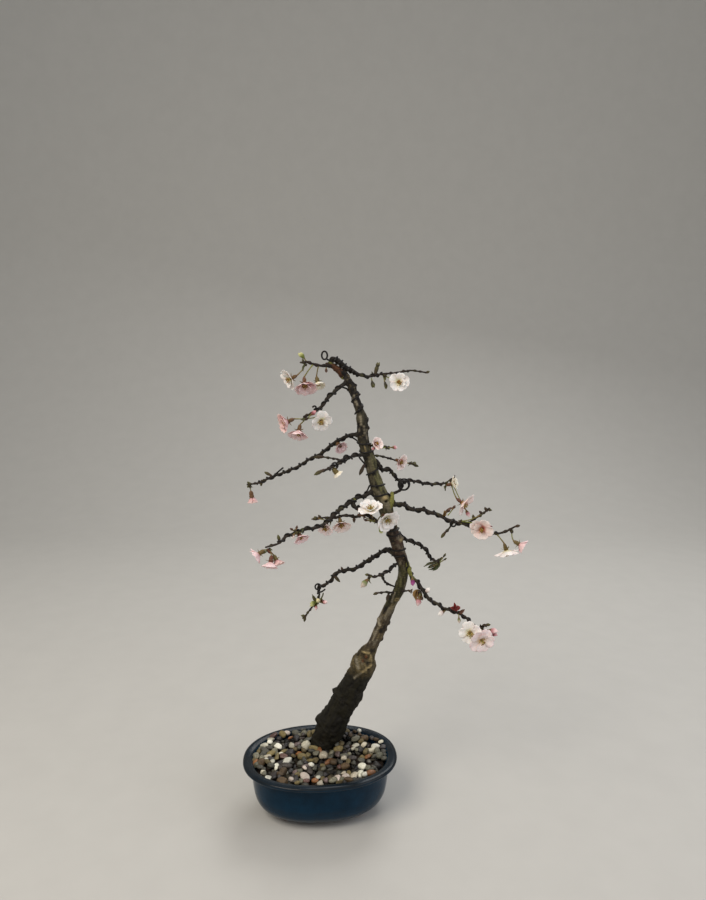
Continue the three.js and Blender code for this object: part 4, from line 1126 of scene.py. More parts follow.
def branch_tints(limb, straight, skin, green_reach, seed):
    """Grey-brown wood in dark streaks, redder and smoother towards the tip."""
    ahead = np.clip(straight[:, 2] / limb.length, 0, 1)
    tint = mixed(skin, mixed(skin, BARK_RED, 0.4), ahead)
    tint = mixed(tint, BARK_CRACK * 2, np.clip(rough(straight, (1.4, 1.4, 5), seed + 9) + 0.1, 0, 1) * 0.85)
    tint = mixed(tint, GREEN_SHOOT, (1 - smooth_step(ahead, green_reach * 0.7, green_reach + 0.01)) * 0.8)
    return mixed(tint, LICHEN * 0.7, np.clip(noise(straight, 5, seed + 12) - 0.35, 0, 1) * 0.6)


def smoothed_radii(limb, shares, width=4):
    """The limb's radii without their corners."""
    padded = np.pad(limb.radius(shares), width, mode="edge")
    return np.convolve(padded, np.ones(2 * width + 1) / (2 * width + 1), mode="valid")


def grown_limb(name, number, samples):
    """A closed object for one limb, swollen where it meets the others."""
    limb, seed = LIMBS[name], BARK_SEED + 7 * number
    is_trunk = limb is TRUNK
    sides, step = (TRUNK_SIDES, TRUNK_STEP) if is_trunk else (BRANCH_SIDES, BRANCH_STEP)
    bark = trunk_relief if is_trunk else branch_relief(limb, seed)

    def relief(points, straight):
        return bark(points, straight) + collar_relief(points, samples, name)

    shares = limb.shares(step)
    points, faces, straight = tube(limb.at(shares), smoothed_radii(limb, shares), sides, relief)
    if is_trunk:
        tints = trunk_tints(points, straight)
    else:
        tints = branch_tints(
            limb, straight, LIMB_SKINS.get(name, BARK_TWIG), GREEN_REACH.get(name, 0.0), seed,
        )
    return closed_object(f"wood_{name}", points, faces, tints)


def graft_knob():
    """The swollen graft where the flowering cherry was set on its stock."""
    ball, faces = BALLS[5]
    points = KNOB_MIDDLE + ball * KNOB_RADIUS
    points = points + ball * (0.8 * rough(points, 5, 81, 3) + marked_relief(points))[:, None]
    return closed_object("wood_knob", points, faces, trunk_tints(points, points - KNOB_MIDDLE))


def root_relief(points, straight):
    return 0.7 * rough(points, 6, 91)


def grown_root(number, root):
    shares = root.shares(ROOT_STEP)
    points, faces, _ = tube(root.at(shares), root.radius(shares), ROOT_SIDES, root_relief)
    return closed_object(f"root_{number}", points, faces, BARK_LOW)


def build_tree():
    samples = middle_lines()
    trunk, *others = [grown_limb(name, number, samples) for number, name in enumerate(LIMBS)]
    others.append(graft_knob())
    others.extend(grown_root(number, root) for number, root in enumerate(ROOTS))
    trunk.name = "cherry_wood"
    combined(trunk, others)
    trunk.data.materials.append(cherry_bark())
    as_piece(trunk, "bark", "tree")


# ------------------------------------------------------------------ training wire

WIRE_PITCH = 10.0
BAND_PITCH = 5.0  # of the close turns on the shoot above the leader
WIRE_APPROACH = 3.0
WIRE_LIFT, LEAST_LIFT = 0.85, 0.8  # how far off the bark a wire's middle lies, in its radii
WIRE_STEP, WIRE_SIDES = 0.8, 12
WINDING_FRAMES, TURN_STEPS = 240, 24
WIRE_FIELD = 1.5  # how far off the bark the turns are taken to run when spurs look for room
CURL_STEP = 18


def trunk_distance(height):
    return np.argmax(TRUNK.at(EVEN_SHARES)[:, 2] >= height) / LENGTH_DIVISIONS * TRUNK.length


def winding(limb, start, end, radius, aim_from=None, aim_to=None, turns=0, pitch=WIRE_PITCH):
    """Points of a wire wound on a limb between two distances along it.

    The first point faces aim_from; with aim_to, the last one faces it after whole turns."""
    shares = np.linspace(0, 1, WINDING_FRAMES + 1)
    normals, binormals = frames_along(limb.tangent(shares))

    def facing(distance, target):
        share = np.clip(distance / limb.length, 0, 1)
        index = round(share * WINDING_FRAMES)
        towards = target - limb.at(share)
        return math.atan2(towards @ binormals[index], towards @ normals[index])

    start_angle = 0 if aim_from is None else facing(start, aim_from)
    sweep = TURN * abs(end - start) / pitch
    if aim_to is not None:
        sweep = (facing(end, aim_to) - start_angle) % TURN + turns * TURN
    ahead = np.linspace(0, 1, math.ceil(sweep / TURN * TURN_STEPS) + 1)
    share = np.clip((start + (end - start) * ahead) / limb.length, 0, 1)
    angle = (start_angle + sweep * ahead)[:, None]
    normal, binormal = (
        np.stack([np.interp(share, shares, channel) for channel in side.T], -1)
        for side in (normals, binormals)
    )
    out = unit(np.cos(angle) * normal + np.sin(angle) * binormal)
    return limb.at(share) + out * (limb.radius(share) + radius)[:, None]


def curl(middle, radii, start, sweep, rise, steps=None):
    """A curl of spare wire that faces the tree's front; radii is one, or two for an oval, and
    angles are in degrees."""
    angle = np.radians(np.linspace(start, start + sweep, steps or max(6, abs(sweep) // CURL_STEP)))
    wide, high = np.broadcast_to(radii, 2)
    forward = np.linspace(0, rise, len(angle))
    return np.array(middle) + np.stack([np.cos(angle) * wide, forward, np.sin(angle) * high], -1)


def spare_wire():
    """Curls and ends of wire that stand off the branches, under the wire they belong to."""
    return {
        "left_long_right_upper": [
            curl([80, 13, 315.5], 5.3, -160, 420, -2.2),
            curl([80, 9.5, 315.3], 4.3, -60, 420, -2.2),
            curl([77, 12, 314.5], 2.2, 40, 420, -1.8),
            [[-47, 41.5, 317.5], [-44, 40.5, 320.5], [-40, 39, 324], [-36.5, 38, 327]],
        ],
        "left_short": [curl([16, -27, 340], 2.6, -60, 380, -2), curl([26, -20, 346], 2.2, -30, 300, -2)],
        "left_upper": [curl([-2, -20, 390.5], 1.5, -100, 250, -1.0)],
        "left_low_right_low": [
            curl([-3, 37, 207], 2.8, 30, 340, -2),
            [[-3, 37, 205], [-2, 36, 201.5], [1, 35, 202.5], [4, 34, 205]],
        ],
        "left_middle_right_middle": [curl([121, -29, 288], 2.4, 90, 300, -2)],
    }


def wire_routes(radius):
    """The middle line of every wire. Spans are distances along a branch, or heights on the trunk."""

    def along(name, span, aim_from=None, pitch=WIRE_PITCH):
        return winding(BRANCHES[name], *span, radius, aim_from=aim_from, pitch=pitch)

    def aim(name, span):
        return BRANCHES[name].at((span[0] + WIRE_APPROACH) / BRANCHES[name].length)

    def round_trunk(heights, **aims):
        return winding(TRUNK, *[trunk_distance(height) for height in heights], radius, **aims)

    def anchored(name, heights, turns, span):
        """A wire that starts with turns round the trunk and then winds out along one branch."""
        anchor = round_trunk(heights, aim_to=aim(name, span), turns=turns)
        return np.vstack([anchor, along(name, span, anchor[-1])])

    def shared(first, first_span, second, second_span, heights):
        """One wire for two branches: in along the first, round the trunk and out along the second."""
        aims = {"aim_from": aim(first, first_span), "aim_to": aim(second, second_span)}
        wrap = round_trunk(heights, turns=1, **aims)
        inward, outward = along(first, first_span, wrap[0])[::-1], along(second, second_span, wrap[-1])
        return np.vstack([inward, wrap, outward])

    crown_loop = curl([6.6, -6, 436.2], (2.5, 3.6), -50, 550, -2.6, 40)
    return {
        "leader": np.vstack([along("crown_right", (26, 5), pitch=BAND_PITCH), crown_loop]),
        "crown_right": along("crown_right", (29, 56)),
        "left_upper": anchored("left_upper", (384, 407), 2, (7, 42)),
        "left_long_right_upper": shared("left_long", (9, 128), "right_upper", (11, 92), (358, 346)),
        "left_short": anchored("left_short", (327, 336), 1, (10, 52)),
        "left_middle_right_middle": shared("left_middle", (11, 112), "right_middle", (11, 112), (318, 306)),
        "left_middle_fork": along("left_middle_fork", (4, 22)),
        "left_low_right_low": shared("left_low", (9, 108), "right_low", (9, 92), (256, 249)),
        "right_short": anchored("right_short", (275, 268), 1, (10, 56)),
        "left_small": along("left_small", (9, 34)),
    }


def clear_of_bark(route, found, samples, radius):
    """Moves a wire's points out of the wood wherever they would cut into it."""
    for _ in range(3):
        for i, point in enumerate(route):
            for spot, index, distance in found.find_n(point, 3):
                short = samples[index][2] + radius - distance
                if short > 0 and distance > 0.1:
                    route[i] = route[i] + (route[i] - np.array(spot)) / distance * short
                    break
    return route


def build_wires(settings):
    radius = settings.diameter / 2 / MM
    samples = middle_lines()
    found = search_tree([spot for _, spot, _ in samples])
    material = anodised_wire()
    spare = spare_wire()
    for name, route in wire_routes(radius * WIRE_LIFT).items():
        route = clear_of_bark(route, found, samples, radius * LEAST_LIFT)
        shell = Shell()
        for path in (route, *spare.get(name, ())):
            points, faces, _ = tube(route_through(path, WIRE_STEP), radius, WIRE_SIDES)
            shell.add(points, faces, settings.colour)
        piece(f"wire_turns_{name}", shell, [material], "wire", f"wire_{name}")


def wire_search():
    """A search tree over the middle line of every wire."""
    return search_tree(np.vstack(list(wire_routes(WIRE_FIELD).values())))


# ------------------------------------------------------------------ flowers

SPUR_RADIUS, SPUR_CLEARANCE = 1.5, 0.1
SPUR_SLIDE, SPUR_SLIDE_STEP, SPUR_RANGE = 5.0, 0.5, (0.02, 0.98)  # along the branch
STALK_RADIUS = 0.5
CALYX_SHARE = 0.26  # length of a calyx tube, as a share of its flower's diameter
SEAT_GAP = 1.2  # from the seat of the petals to the middle of the corolla
HEART_SINK = 0.6  # from the middle of the corolla back to where its petals meet
INNER_SIZE, INNER_LEAN = 0.74, 20.0  # of the inner petals, against the outer ones
BUD_WIDTH, LEAFY_WIDTH = 0.31, 0.22  # half of it, as a share of the bud's length
OPENING_SEAT, OPENING_CALYX = 0.1, 0.42  # shares of a half-open flower's length
PETAL_ROWS, PETAL_COLUMNS = 13, 11
PETALS, SEPALS, STAMENS = 5, 5, 22
FLOWER_SEED = 311
# Thickness along a calyx, a bud and a winter bud: shares of the length, and of the thickness
CALYX_PROFILE = [0, 0.15, 0.5, 0.75, 1], [0.3, 0.72, 0.95, 0.88, 1.05]
BUD_PROFILE = [0, 0.12, 0.35, 0.6, 0.85, 1], [0.25, 0.5, 0.8, 1.0, 0.72, 0.2]
WINTER_PROFILE = [0, 0.3, 0.55, 0.85, 1], [0.7, 1.0, 1.25, 0.8, 0.25]
SKIN, PETAL, THREAD, DRY, FOLDED = 0, 0, 1, 1, 2  # numbers of a piece's materials

# What grows from each spur.
# A flower: middle, way it faces, diameter, colouring, how far open, petals inside the first five.
# A bud: middle, length, colouring. Either may end with the point its own stalk starts from.
# A leaf: foot, tip, colour.
CLUSTERS = {
    "crown_left": {
        "on": "crown_left",
        "flowers": [
            ([-22.5, -20, 416], [-0.75, -0.5, -0.4], 21, "white", 0.75, 2),
            ([-10.5, -19, 411.5], [0.1, -0.6, -0.8], 23, "pink", 0.6, 4, [-4, -12, 427.5]),
            ([0.5, -10, 412.5], [0.2, -0.45, -0.9], 17, "cream", 0.5, 2, [1, -9, 426]),
        ],
        "buds": [
            ([-13, -14, 436], 7, "green", [-9, -13, 431]), ([-12, -14, 431.5], 4, "olive"),
            ([8, -6, 423], 4, "brown", [8, -5, 426]),
        ],
        "leaves": [([-9, -13, 429], [-13, -17, 424], SCALE_OLIVE)],
    },
    "crown_right": {
        "on": "crown_right", "flowers": [([74, 7, 412], [0.1, -1, -0.15], 19, "white", 0.9, 1)],
        "buds": [
            ([50, 6, 410], 7, "olive", [49, 8, 415]), ([62, 10, 409], 7, "olive", [60, 11, 417]),
            ([54.5, 8, 427], 6, "olive", [52, 9, 419]),
        ],
        "leaves": [([60, 11, 418], [62, 8, 414], SCALE_OLIVE), ([52, 9, 418], [49, 8, 421], SCALE_OLIVE)],
    },
    "left_upper": {
        "on": "left_upper",
        "flowers": [
            ([4, -24, 379], [0.15, -0.85, -0.5], 19, "white", 0.9, 1),
            ([-25, -29, 379], [-0.85, -0.5, -0.35], 21, "rose", 0.5, 3),
            ([-15.5, -27, 370.5], [-0.15, -0.6, -0.85], 21, "pink", 0.55, 4),
        ],
        "buds": [([-3, -25, 386], 6, "rose")], "leaves": [([-9, -24, 383], [-14, -28, 380], SCALE_OLIVE)],
    },
    "left_middle_tip": {
        "on": "left_middle",
        "flowers": [
            ([-47.5, -63, 270], [-0.75, -0.35, -0.5], 17, "pink", 0.5, 2),
            ([-37.5, -65, 263.5], [-0.1, -0.45, -0.9], 17, "pink", 0.5, 3),
            ([-33.5, -59, 263.5], [0.5, -0.3, -0.85], 15, "rose", 0.4, 2),
        ],
        "buds": [],
        "leaves": [
            ([-41, -60, 274], [-44, -62, 269], SCALE_OLIVE), ([-41, -60, 274], [-37, -61, 269], LEAF_RED),
        ],
    },
    "left_middle_low": {
        "on": "left_middle", "flowers": [([-14.5, -42, 280], [0.35, -0.55, -0.75], 16, "pink", 0.6, 2)],
        "buds": [
            ([-21, -46, 287], 3.5, "brown"), ([-17, -44, 288], 3.5, "brown"), ([-20, -46, 281], 5, "white"),
        ],
        "leaves": [([-16, -43, 283], [-11, -42, 287], SCALE_OLIVE)],
    },
    "left_middle_twig": {
        "on": "left_middle_twig",
        "flowers": [
            ([7.5, -23, 283], [-0.15, -0.7, -0.6], 17, "pale", 0.7, 1),
            ([21, -23, 286.5], [0.2, -0.7, -0.65], 20, "coral", 0.7, 2),
        ],
        "buds": [([-1, -24, 292], 4, "olive")], "leaves": [([14, -21, 290], [11, -23, 286], SCALE_OLIVE)],
    },
    "left_middle_fork": {
        "on": "left_middle_fork",
        "flowers": [
            ([48, -20, 298.5], [-0.1, -0.4, 0.9], 22, "white", 0.8, 3),
            ([62, -22, 290.5], [0.4, -0.8, -0.4], 24, "white", 0.7, 3),
        ],
        "buds": [([57, -19, 279], 6, "green"), ([44, -17, 288], 4, "brown"), ([38, -17, 293], 4, "brown")],
        "leaves": [
            ([45, -17, 294], [41, -20, 290], SCALE_BROWN), ([49, -17, 291], [51, -20, 286], SCALE_BROWN),
        ],
    },
    "right_high": {
        "on": "right_twig_high", "flowers": [([53, 3, 355], [0.6, -0.65, 0.35], 14, "coral", 0.6, 2)],
        "buds": [([65, 15, 350], 6, "olive"), ([71, 17, 350], 6, "pink"), ([51, 1, 351], 5, "rose")],
        "leaves": [],
    },
    "right_twig": {
        "on": "right_twig", "flowers": [([76, 14, 337], [0.6, -0.7, -0.25], 17, "coral", 0.65, 2)],
        "buds": [([90, 24, 334], 5, "olive")], "leaves": [([78, 24, 335], [82, 20, 338], SCALE_OLIVE)],
    },
    "right_upper": {
        "on": "right_upper",
        "flowers": [
            ([128, 31, 312.5], [0.85, -0.25, 0.3], 16, "cream", 0.6, 2),
            ([139, 32, 293], [0.7, -0.5, -0.5], 26, "coral", 0.8, 0),
        ],
        "buds": [([144, 32, 283], 7, "pink"), ([122, 34, 309], 4, "olive")],
        "leaves": [
            ([126, 38, 314], [120, 34, 306], SCALE_OLIVE), ([126, 38, 314], [132, 34, 319], SCALE_BROWN),
        ],
    },
    "right_middle": {
        "on": "right_middle", "flowers": [([142, -55, 290], [-0.3, -0.9, -0.3], 21, "coral", 0.85, 1)],
        "buds": [
            ([117, -26, 299], 5, "brown", [113, -24, 294]), ([122, -26, 302], 4, "brown", [117, -26, 295]),
            ([141, -53, 301], 3, "olive"),
        ],
        "leaves": [
            ([113, -24, 293], [114, -27, 299], SCALE_GOLD), ([113, -24, 293], [120, -26, 304], LEAF_BRONZE),
            ([146, -42, 286], [151, -47, 291], LEAF_RED),
        ],
    },
    "right_middle_tip": {
        "on": "right_middle",
        "flowers": [
            ([164, -53, 270], [0.3, -0.22, -0.95], 21, "white", 0.95, 0, [157, -48, 282.5]),
            ([174, -56, 276.5], [0.8, -0.4, -0.4], 16, "pink", 0.5, 2),
        ],
        "buds": [], "leaves": [],
    },
    "right_low": {
        "on": "right_low", "flowers": [],
        "buds": [
            ([87.5, -7, 227], 7, "magenta", [87, -4, 233]), ([93, -11, 209.5], 8.5, "pink"),
            ([101, -12, 220], 7, "white", [98, -10, 216]), ([96, -9, 212], 5, "brown"),
        ],
        "leaves": [
            ([92, -6, 219], [88, -9, 213], SCALE_GOLD), ([92, -6, 219], [90, -10, 210], SCALE_GOLD),
            ([92, -6, 219], [95, -10, 210], LEAF_BRONZE), ([92, -6, 219], [98, -9, 214], LEAF_BRONZE),
            ([88, -4, 219], [86, -6, 215], SCALE_BROWN),
        ],
    },
    "right_low_tip": {
        "on": "right_low",
        "flowers": [
            ([136, -44, 192], [-0.2, -1, 0.05], 21, "white", 0.95, 1),
            ([146, -47, 186.5], [0.15, -0.95, -0.15], 23, "pale", 0.95, 1),
        ],
        "buds": [
            ([156, -45, 194.5], 8, "pink"), ([157, -44, 191], 6, "rose"),
            ([113, -23, 202.5], 7, "white", [117, -21, 204]),
            ([128, -31, 199], 5, "blush", [128, -28, 203]),
        ],
        "leaves": [
            ([124, -26, 206], [120, -29, 211.5], LEAF_RED * 1.8),
            ([125, -26, 206], [124, -30, 214], LEAF_RED * 1.5),
            ([126, -27, 206], [128, -31, 213], LEAF_RED * 1.8),
            ([125, -27, 206], [126, -31, 211], LEAF_RED), ([129, -29, 204], [132, -32, 209], LEAF_BRONZE),
            ([147, -38, 196], [145, -45, 198], SCALE_BROWN),
            ([147, -38, 196], [150, -44, 199], SCALE_BROWN),
            ([147, -38, 196], [149, -45, 194], SCALE_BROWN),
        ],
    },
}

# Half-open flowers that hang on one stalk: branch, place, length, colouring and how far open
OPENING_FLOWERS = {
    "left_long_tip": ("left_long", [-69.5, 52, 294.5], 13, "rose", 0.25),
    "left_long": ("left_long", [20, 7, 352.5], 11, "pink", 0.6),
    "left_short": ("left_short", [17.5, -30, 334], 9, "cream", 0.55),
}

# Young leaves and opening bud scales: the tip of each leaf and its colour, and the buds there
LEAF_TUFTS = {
    "left_low": (
        [
            ([-7, 38, 185], LEAF_BRONZE), ([4, 36, 198.5], SCALE_OLIVE), ([4, 37, 190], LEAF_BRONZE),
            ([-9, 39, 197], SCALE_OLIVE), ([2, 36, 194], LEAF_RED),
        ],
        [
            ([-8, 38, 189], 8, "green"), ([-3, 35, 193], 7, "cream"), ([3.5, 36, 191], 6, "pink"),
            ([-5, 37, 185], 5, "pink"),
        ],
    ),
    "right_short": (
        [
            ([104, 27, 229], LEAF_GREEN * 0.7), ([108, 27, 225.5], SCALE_OLIVE),
            ([112, 28, 225.5], LEAF_GREEN * 0.8), ([116, 30, 228], SCALE_OLIVE),
            ([103, 27, 234], SCALE_OLIVE),
        ],
        [([109, 27, 231], 4, "olive"), ([122.5, 35, 239.5], 5, "olive"), ([123, 34, 236], 4, "olive")],
    ),
    "left_small": ([([47, -32, 234], SCALE_OLIVE)], [([42.5, -33, 234.5], 9, "blush")]),
}

# Colours of a flower's heart, of its middle and of its edge
PETAL_KINDS = {
    "white": ("dfdcae", "f5f0ea", "f8f3ef"), "pale": ("dfc3a2", "f4e4e1", "f3dcdc"),
    "pink": ("d39a92", "edcdcd", "f2dada"), "rose": ("a9566a", "dcb1ae", "ebd0ca"),
    "coral": ("b0503c", "f0dad3", "f5e8e2"), "cream": ("b3b862", "efe9cf", "f5f0e0"),
}
# Colours of a bud, low and at its tip
BUD_KINDS = {
    "pink": ("c4858a", "ecd0cd"), "rose": ("8f4650", "d29a9c"), "magenta": ("7c2b62", "b25a98"),
    "olive": ("37331f", "5a5731"), "green": ("77803c", "c9c98a"), "brown": ("35241b", "5f4030"),
    "white": ("dccbc4", "f4f0ea"), "blush": ("76804e", "d3c2b4"), "cream": ("b5b46a", "ece3b4"),
}


def spur_place(name, targets, turns):
    """Where a spur sits: on the bark on the side of what it carries, between turns of wire."""
    branch, middle = BRANCHES[name], np.mean(targets, axis=0)
    nearest = EVEN_SHARES[np.argmin(np.linalg.norm(branch.at(EVEN_SHARES) - middle, axis=1))]
    best, best_room = None, -1.0
    for slide in np.arange(-SPUR_SLIDE, SPUR_SLIDE + SPUR_SLIDE_STEP / 2, SPUR_SLIDE_STEP):
        share = np.clip(nearest + slide / branch.length, *SPUR_RANGE)
        centre, tangent = branch.at(share), branch.tangent(share)
        side = middle - centre
        side = unit(side - tangent * (side @ tangent))
        place = centre + side * (branch.radius(share) + SPUR_RADIUS + SPUR_CLEARANCE)
        spots = [place + (target - place) * part for target in targets for part in (0, 0.25, 0.5)]
        room = min(turns.find(spot)[2] for spot in spots)
        if room > best_room + 0.01:
            best, best_room = place, room
    return best


def leaf_grid(length, width, leans, outline, cup, thickness, wave=0.0, phase=0.0, notch=0.0):
    """Both faces of a thin blade that starts at the axis and leans from it.

    Leans are in degrees above the flat of the flower, at the blade's foot and at its tip."""
    along = np.linspace(0, 1, PETAL_ROWS)
    across = np.linspace(-1, 1, PETAL_COLUMNS)[None, :]
    lean = np.radians(leans[0] + (leans[1] - leans[0]) * along**0.8)
    out, up = (
        np.concatenate([[0], np.cumsum(ratio(lean[1:]))]) / (PETAL_ROWS - 1) * length
        for ratio in (np.cos, np.sin)
    )
    reach = along[:, None] * (1 - 0.24 * np.abs(across) ** 2.2 - notch * np.exp(-((across / 0.22) ** 2)))
    half = np.interp(reach, along, outline(along)) * width / 2
    slope = np.interp(reach, along, lean)
    lift = cup * half * across**2 + wave * length * reach**2 * np.sin(across * 5.5 + phase)
    y = np.interp(reach, along, out) - np.sin(slope) * lift
    z = np.interp(reach, along, up) + np.cos(slope) * lift
    face = np.stack([half * across, y, z], -1)
    normal = np.stack([0 * reach, -np.sin(slope), np.cos(slope)], -1)
    body = thickness / 2 * (1 - 0.7 * np.maximum(reach, np.abs(across)) ** 6)[..., None]
    points = np.vstack([(face + normal * body).reshape(-1, 3), (face - normal * body).reshape(-1, 3)])
    sides = np.broadcast_to(across, reach.shape)
    return points, sheet_faces(*reach.shape), np.tile(reach.ravel(), 2), np.tile(sides.ravel(), 2)


def petal_outline(along):
    """Half width of a cherry petal along it: a narrow claw, then broad and round."""
    wide = np.sin(np.clip(along / 0.6, 0, 1) * np.pi / 2) ** 1.2
    return 0.16 + 0.84 * wide - 0.18 * np.clip(along - 0.6, 0, 1)


def sepal_outline(along):
    return (1 - along) ** 0.75 * 0.9 + 0.06


def leaf_outline(along):
    return np.sin(np.pi * np.clip(along, 0, 1) ** 0.85) * 0.95 + 0.05


def add_petals(shell, centre, facing, size, kind, opening, inner, random, finish=PETAL):
    """The outer ring of notched, overlapping petals, and a few smaller ones inside it."""
    heart, body, edge = (linear(code) for code in PETAL_KINDS[kind])
    blush = linear(PETAL_KINDS["rose"][1])
    for number, scale, raised_by in ((PETALS, 1.0, 0.0), (inner, INNER_SIZE, INNER_LEAN)):
        start = random.uniform(0, ANY_TURN)
        for i in range(number):
            foot_lean = 60 - 42 * opening + raised_by + random.normal(0, 5)
            tip_lean = 80 - 80 * opening + raised_by * 0.8 + random.normal(0, 9)
            length = size * 0.5 * scale * random.uniform(0.92, 1.08)
            points, faces, shares, sides = leaf_grid(
                length, length * random.uniform(0.9, 1.08), (foot_lean, tip_lean), petal_outline,
                0.16 + 0.3 * (1 - opening), 0.16, wave=0.045, phase=random.uniform(0, ANY_TURN),
                notch=random.uniform(0.05, 0.14),
            )
            points = points + [0, 0.035 * size * scale, 0.012 * raised_by]
            turn = start + TURN * i / number + random.normal(0, 0.09)
            flushed = random.uniform(0, 0.2)
            tint = mixed(heart, body, smooth_step(shares, 0.06, 0.46))
            tint = mixed(tint, edge, smooth_step(shares, 0.55, 1))
            tint = mixed(tint, blush, flushed * smooth_step(np.abs(sides), 0.3, 1))
            tint = tint * (1 - 0.04 * np.cos(sides * 19) * (1 - shares))[:, None]
            under = np.arange(len(points)) >= len(points) // 2
            tint = mixed(tint, blush, 0.14 * under)
            shell.add(turned_to(points, facing, turn) + centre, faces, tint, finish)


def add_stamens(shell, centre, facing, size, opening, random):
    """A tight brush of straw-coloured threads, each with a grain of pollen sac, round the style."""

    def thread(points, faces, tint):
        shell.add(turned_to(points, facing) + centre, faces, tint, THREAD)

    ball, sides = BALLS[1]
    for i in range(STAMENS):
        across = np.array([math.cos(i * 2.4), math.sin(i * 2.4), 0])
        lean = random.uniform(0.05, 0.3 + 0.45 * opening)
        tip = (across * math.sin(lean) + [0, 0, math.cos(lean)]) * size * random.uniform(0.15, 0.25)
        foot = across * 0.45
        stem = route_through([foot, foot + tip * [0.35, 0.35, 0.55], foot + tip], 0.8)
        thread(*tube(stem, 0.14, 5)[:2], mixed(STRAW, PISTIL, random.uniform(0, 0.4)))
        sac = ball * [0.46, 0.46, 0.6] + foot + tip
        thread(sac, sides, mixed(ANTHER, ANTHER * 0.5, random.uniform(0, 1)))
    style = route_through([[0, 0, 0], [0.1, 0, size * 0.13], [0, 0.1, size * 0.24]], 0.8)
    thread(*tube(style, 0.22, 6)[:2], PISTIL)
    heart, sides = BALLS[2]
    reach = 0.6 + 0.06 * size
    thread(heart * [reach, reach, 0.8], sides, mixed(PISTIL, ANTHER, 0.6))


def build_blossoms(settings):
    petal = living_skin("petal_cherry_fresh", 0.55, 1.2, settings.petal_light)
    thread = living_skin("stamen_cherry_fresh", 0.6, 0.5)
    random = np.random.default_rng(FLOWER_SEED)
    for place, cluster in CLUSTERS.items():
        for i, (at, facing, size, kind, opening, inner, *_) in enumerate(cluster["flowers"]):
            shell = Shell()
            facing = unit(facing)
            centre = np.array(at) - facing * HEART_SINK
            add_petals(shell, centre, facing, size, kind, opening, inner, random)
            add_stamens(shell, centre, facing, size, opening, random)
            name = f"{place}_{i + 1}"
            piece(f"corolla_{name}", shell, [petal, thread], "petal", f"blossom_{name}")


def add_sepals(shell, centre, facing, length, lean, random, colour):
    for i in range(SEPALS):
        points, faces, shares, _ = leaf_grid(
            length * random.uniform(0.9, 1.1), length * 0.5, (lean, lean - 25), sepal_outline, 0.35, 0.22,
        )
        tint = mixed(colour, CALYX_GREEN, shares * random.uniform(0.2, 0.8))
        shell.add(turned_to(points + [0, 0.75, 0], facing, TURN * i / SEPALS) + centre, faces, tint, SKIN)


def add_stalk(shell, start, end, heading, random, radius=STALK_RADIUS):
    """A slender stalk that bends into line with what it carries."""
    reach = np.linalg.norm(end - start)
    approach = end - heading * reach * 0.15
    bend = start + (approach - start) * 0.55 + [0, 0, -0.04 * reach]
    route = route_through([start, bend, end], 0.6)
    share = np.linspace(0, 1, len(route))
    radii = radius * (0.9 + 0.4 * share**4 + 0.35 * (1 - share) ** 6)
    points, faces, straight = tube(route, radii, 8)
    along = np.clip(straight[:, 2] / reach, 0, 1)
    tint = mixed(mixed(STALK_GREEN, CALYX_RED, 0.5 * random.uniform(0, 1)), CALYX_RED, along**3 * 0.6)
    shell.add(points, faces, tint, SKIN)


def profiled(route, profile):
    """The profile's thickness at each point of a route."""
    return np.interp(np.linspace(0, 1, len(route)), *profile)


def add_calyx(shell, back, front, width, random):
    """The cup behind a flower: a small bell with a waist."""
    route = route_through([back, (back + front) / 2, front], 0.35)
    points, faces, straight = tube(route, width * profiled(route, CALYX_PROFILE), 12)
    colour = mixed(CALYX_RED, CALYX_GREEN, random.uniform(0.05, 0.6))
    shell.add(points, faces, mixed(colour, colour * 0.7, 0.5 + 0.5 * noise(straight, 1.5, 3)), SKIN)
    return colour


def add_spur(shell, place, random):
    """A knot of dark bud scales on the bark."""
    ball, faces = BALLS[3]
    lumps = ball * (1 + 0.16 * noise(ball + place, 0.5) + 0.08 * noise(ball + place, 0.2))[:, None]
    tint = mixed(SCALE_BROWN, BARK_TWIG, 0.5 + noise(ball, 0.6))
    shell.add(lumps * SPUR_RADIUS + place, faces, tint, DRY)
    for i in range(6):
        direction = unit(random.normal(size=3))
        points, sides, shares, _ = leaf_grid(2.6, 1.9, (62, 40), sepal_outline, 0.5, 0.25)
        tint = mixed(SCALE_BROWN, CALYX_GREEN, shares * 0.7)
        shell.add(turned_to(points + [0, 0.9, 0], direction, i * 1.1) + place, sides, tint, DRY)


def add_leaf(shell, foot, tip, colour, random):
    """A small leaf that is still folded and curling."""
    heading = np.array(tip, float) - foot
    reach = np.linalg.norm(heading)
    points, faces, _, sides = leaf_grid(
        reach * random.uniform(1.0, 1.15), min(reach * 0.5, 3.6), (96, 66), leaf_outline, 0.8, 0.22,
        wave=0.04, phase=random.uniform(0, ANY_TURN),
    )
    tint = mixed(colour, LEAF_GREEN, 0.3 * np.abs(sides) * random.uniform(0, 1))
    tint = tint * (1 - 0.35 * np.exp(-((sides / 0.16) ** 2)))[:, None]
    shell.add(turned_to(points, heading, random.uniform(0, ANY_TURN)) + foot, faces, tint, SKIN)


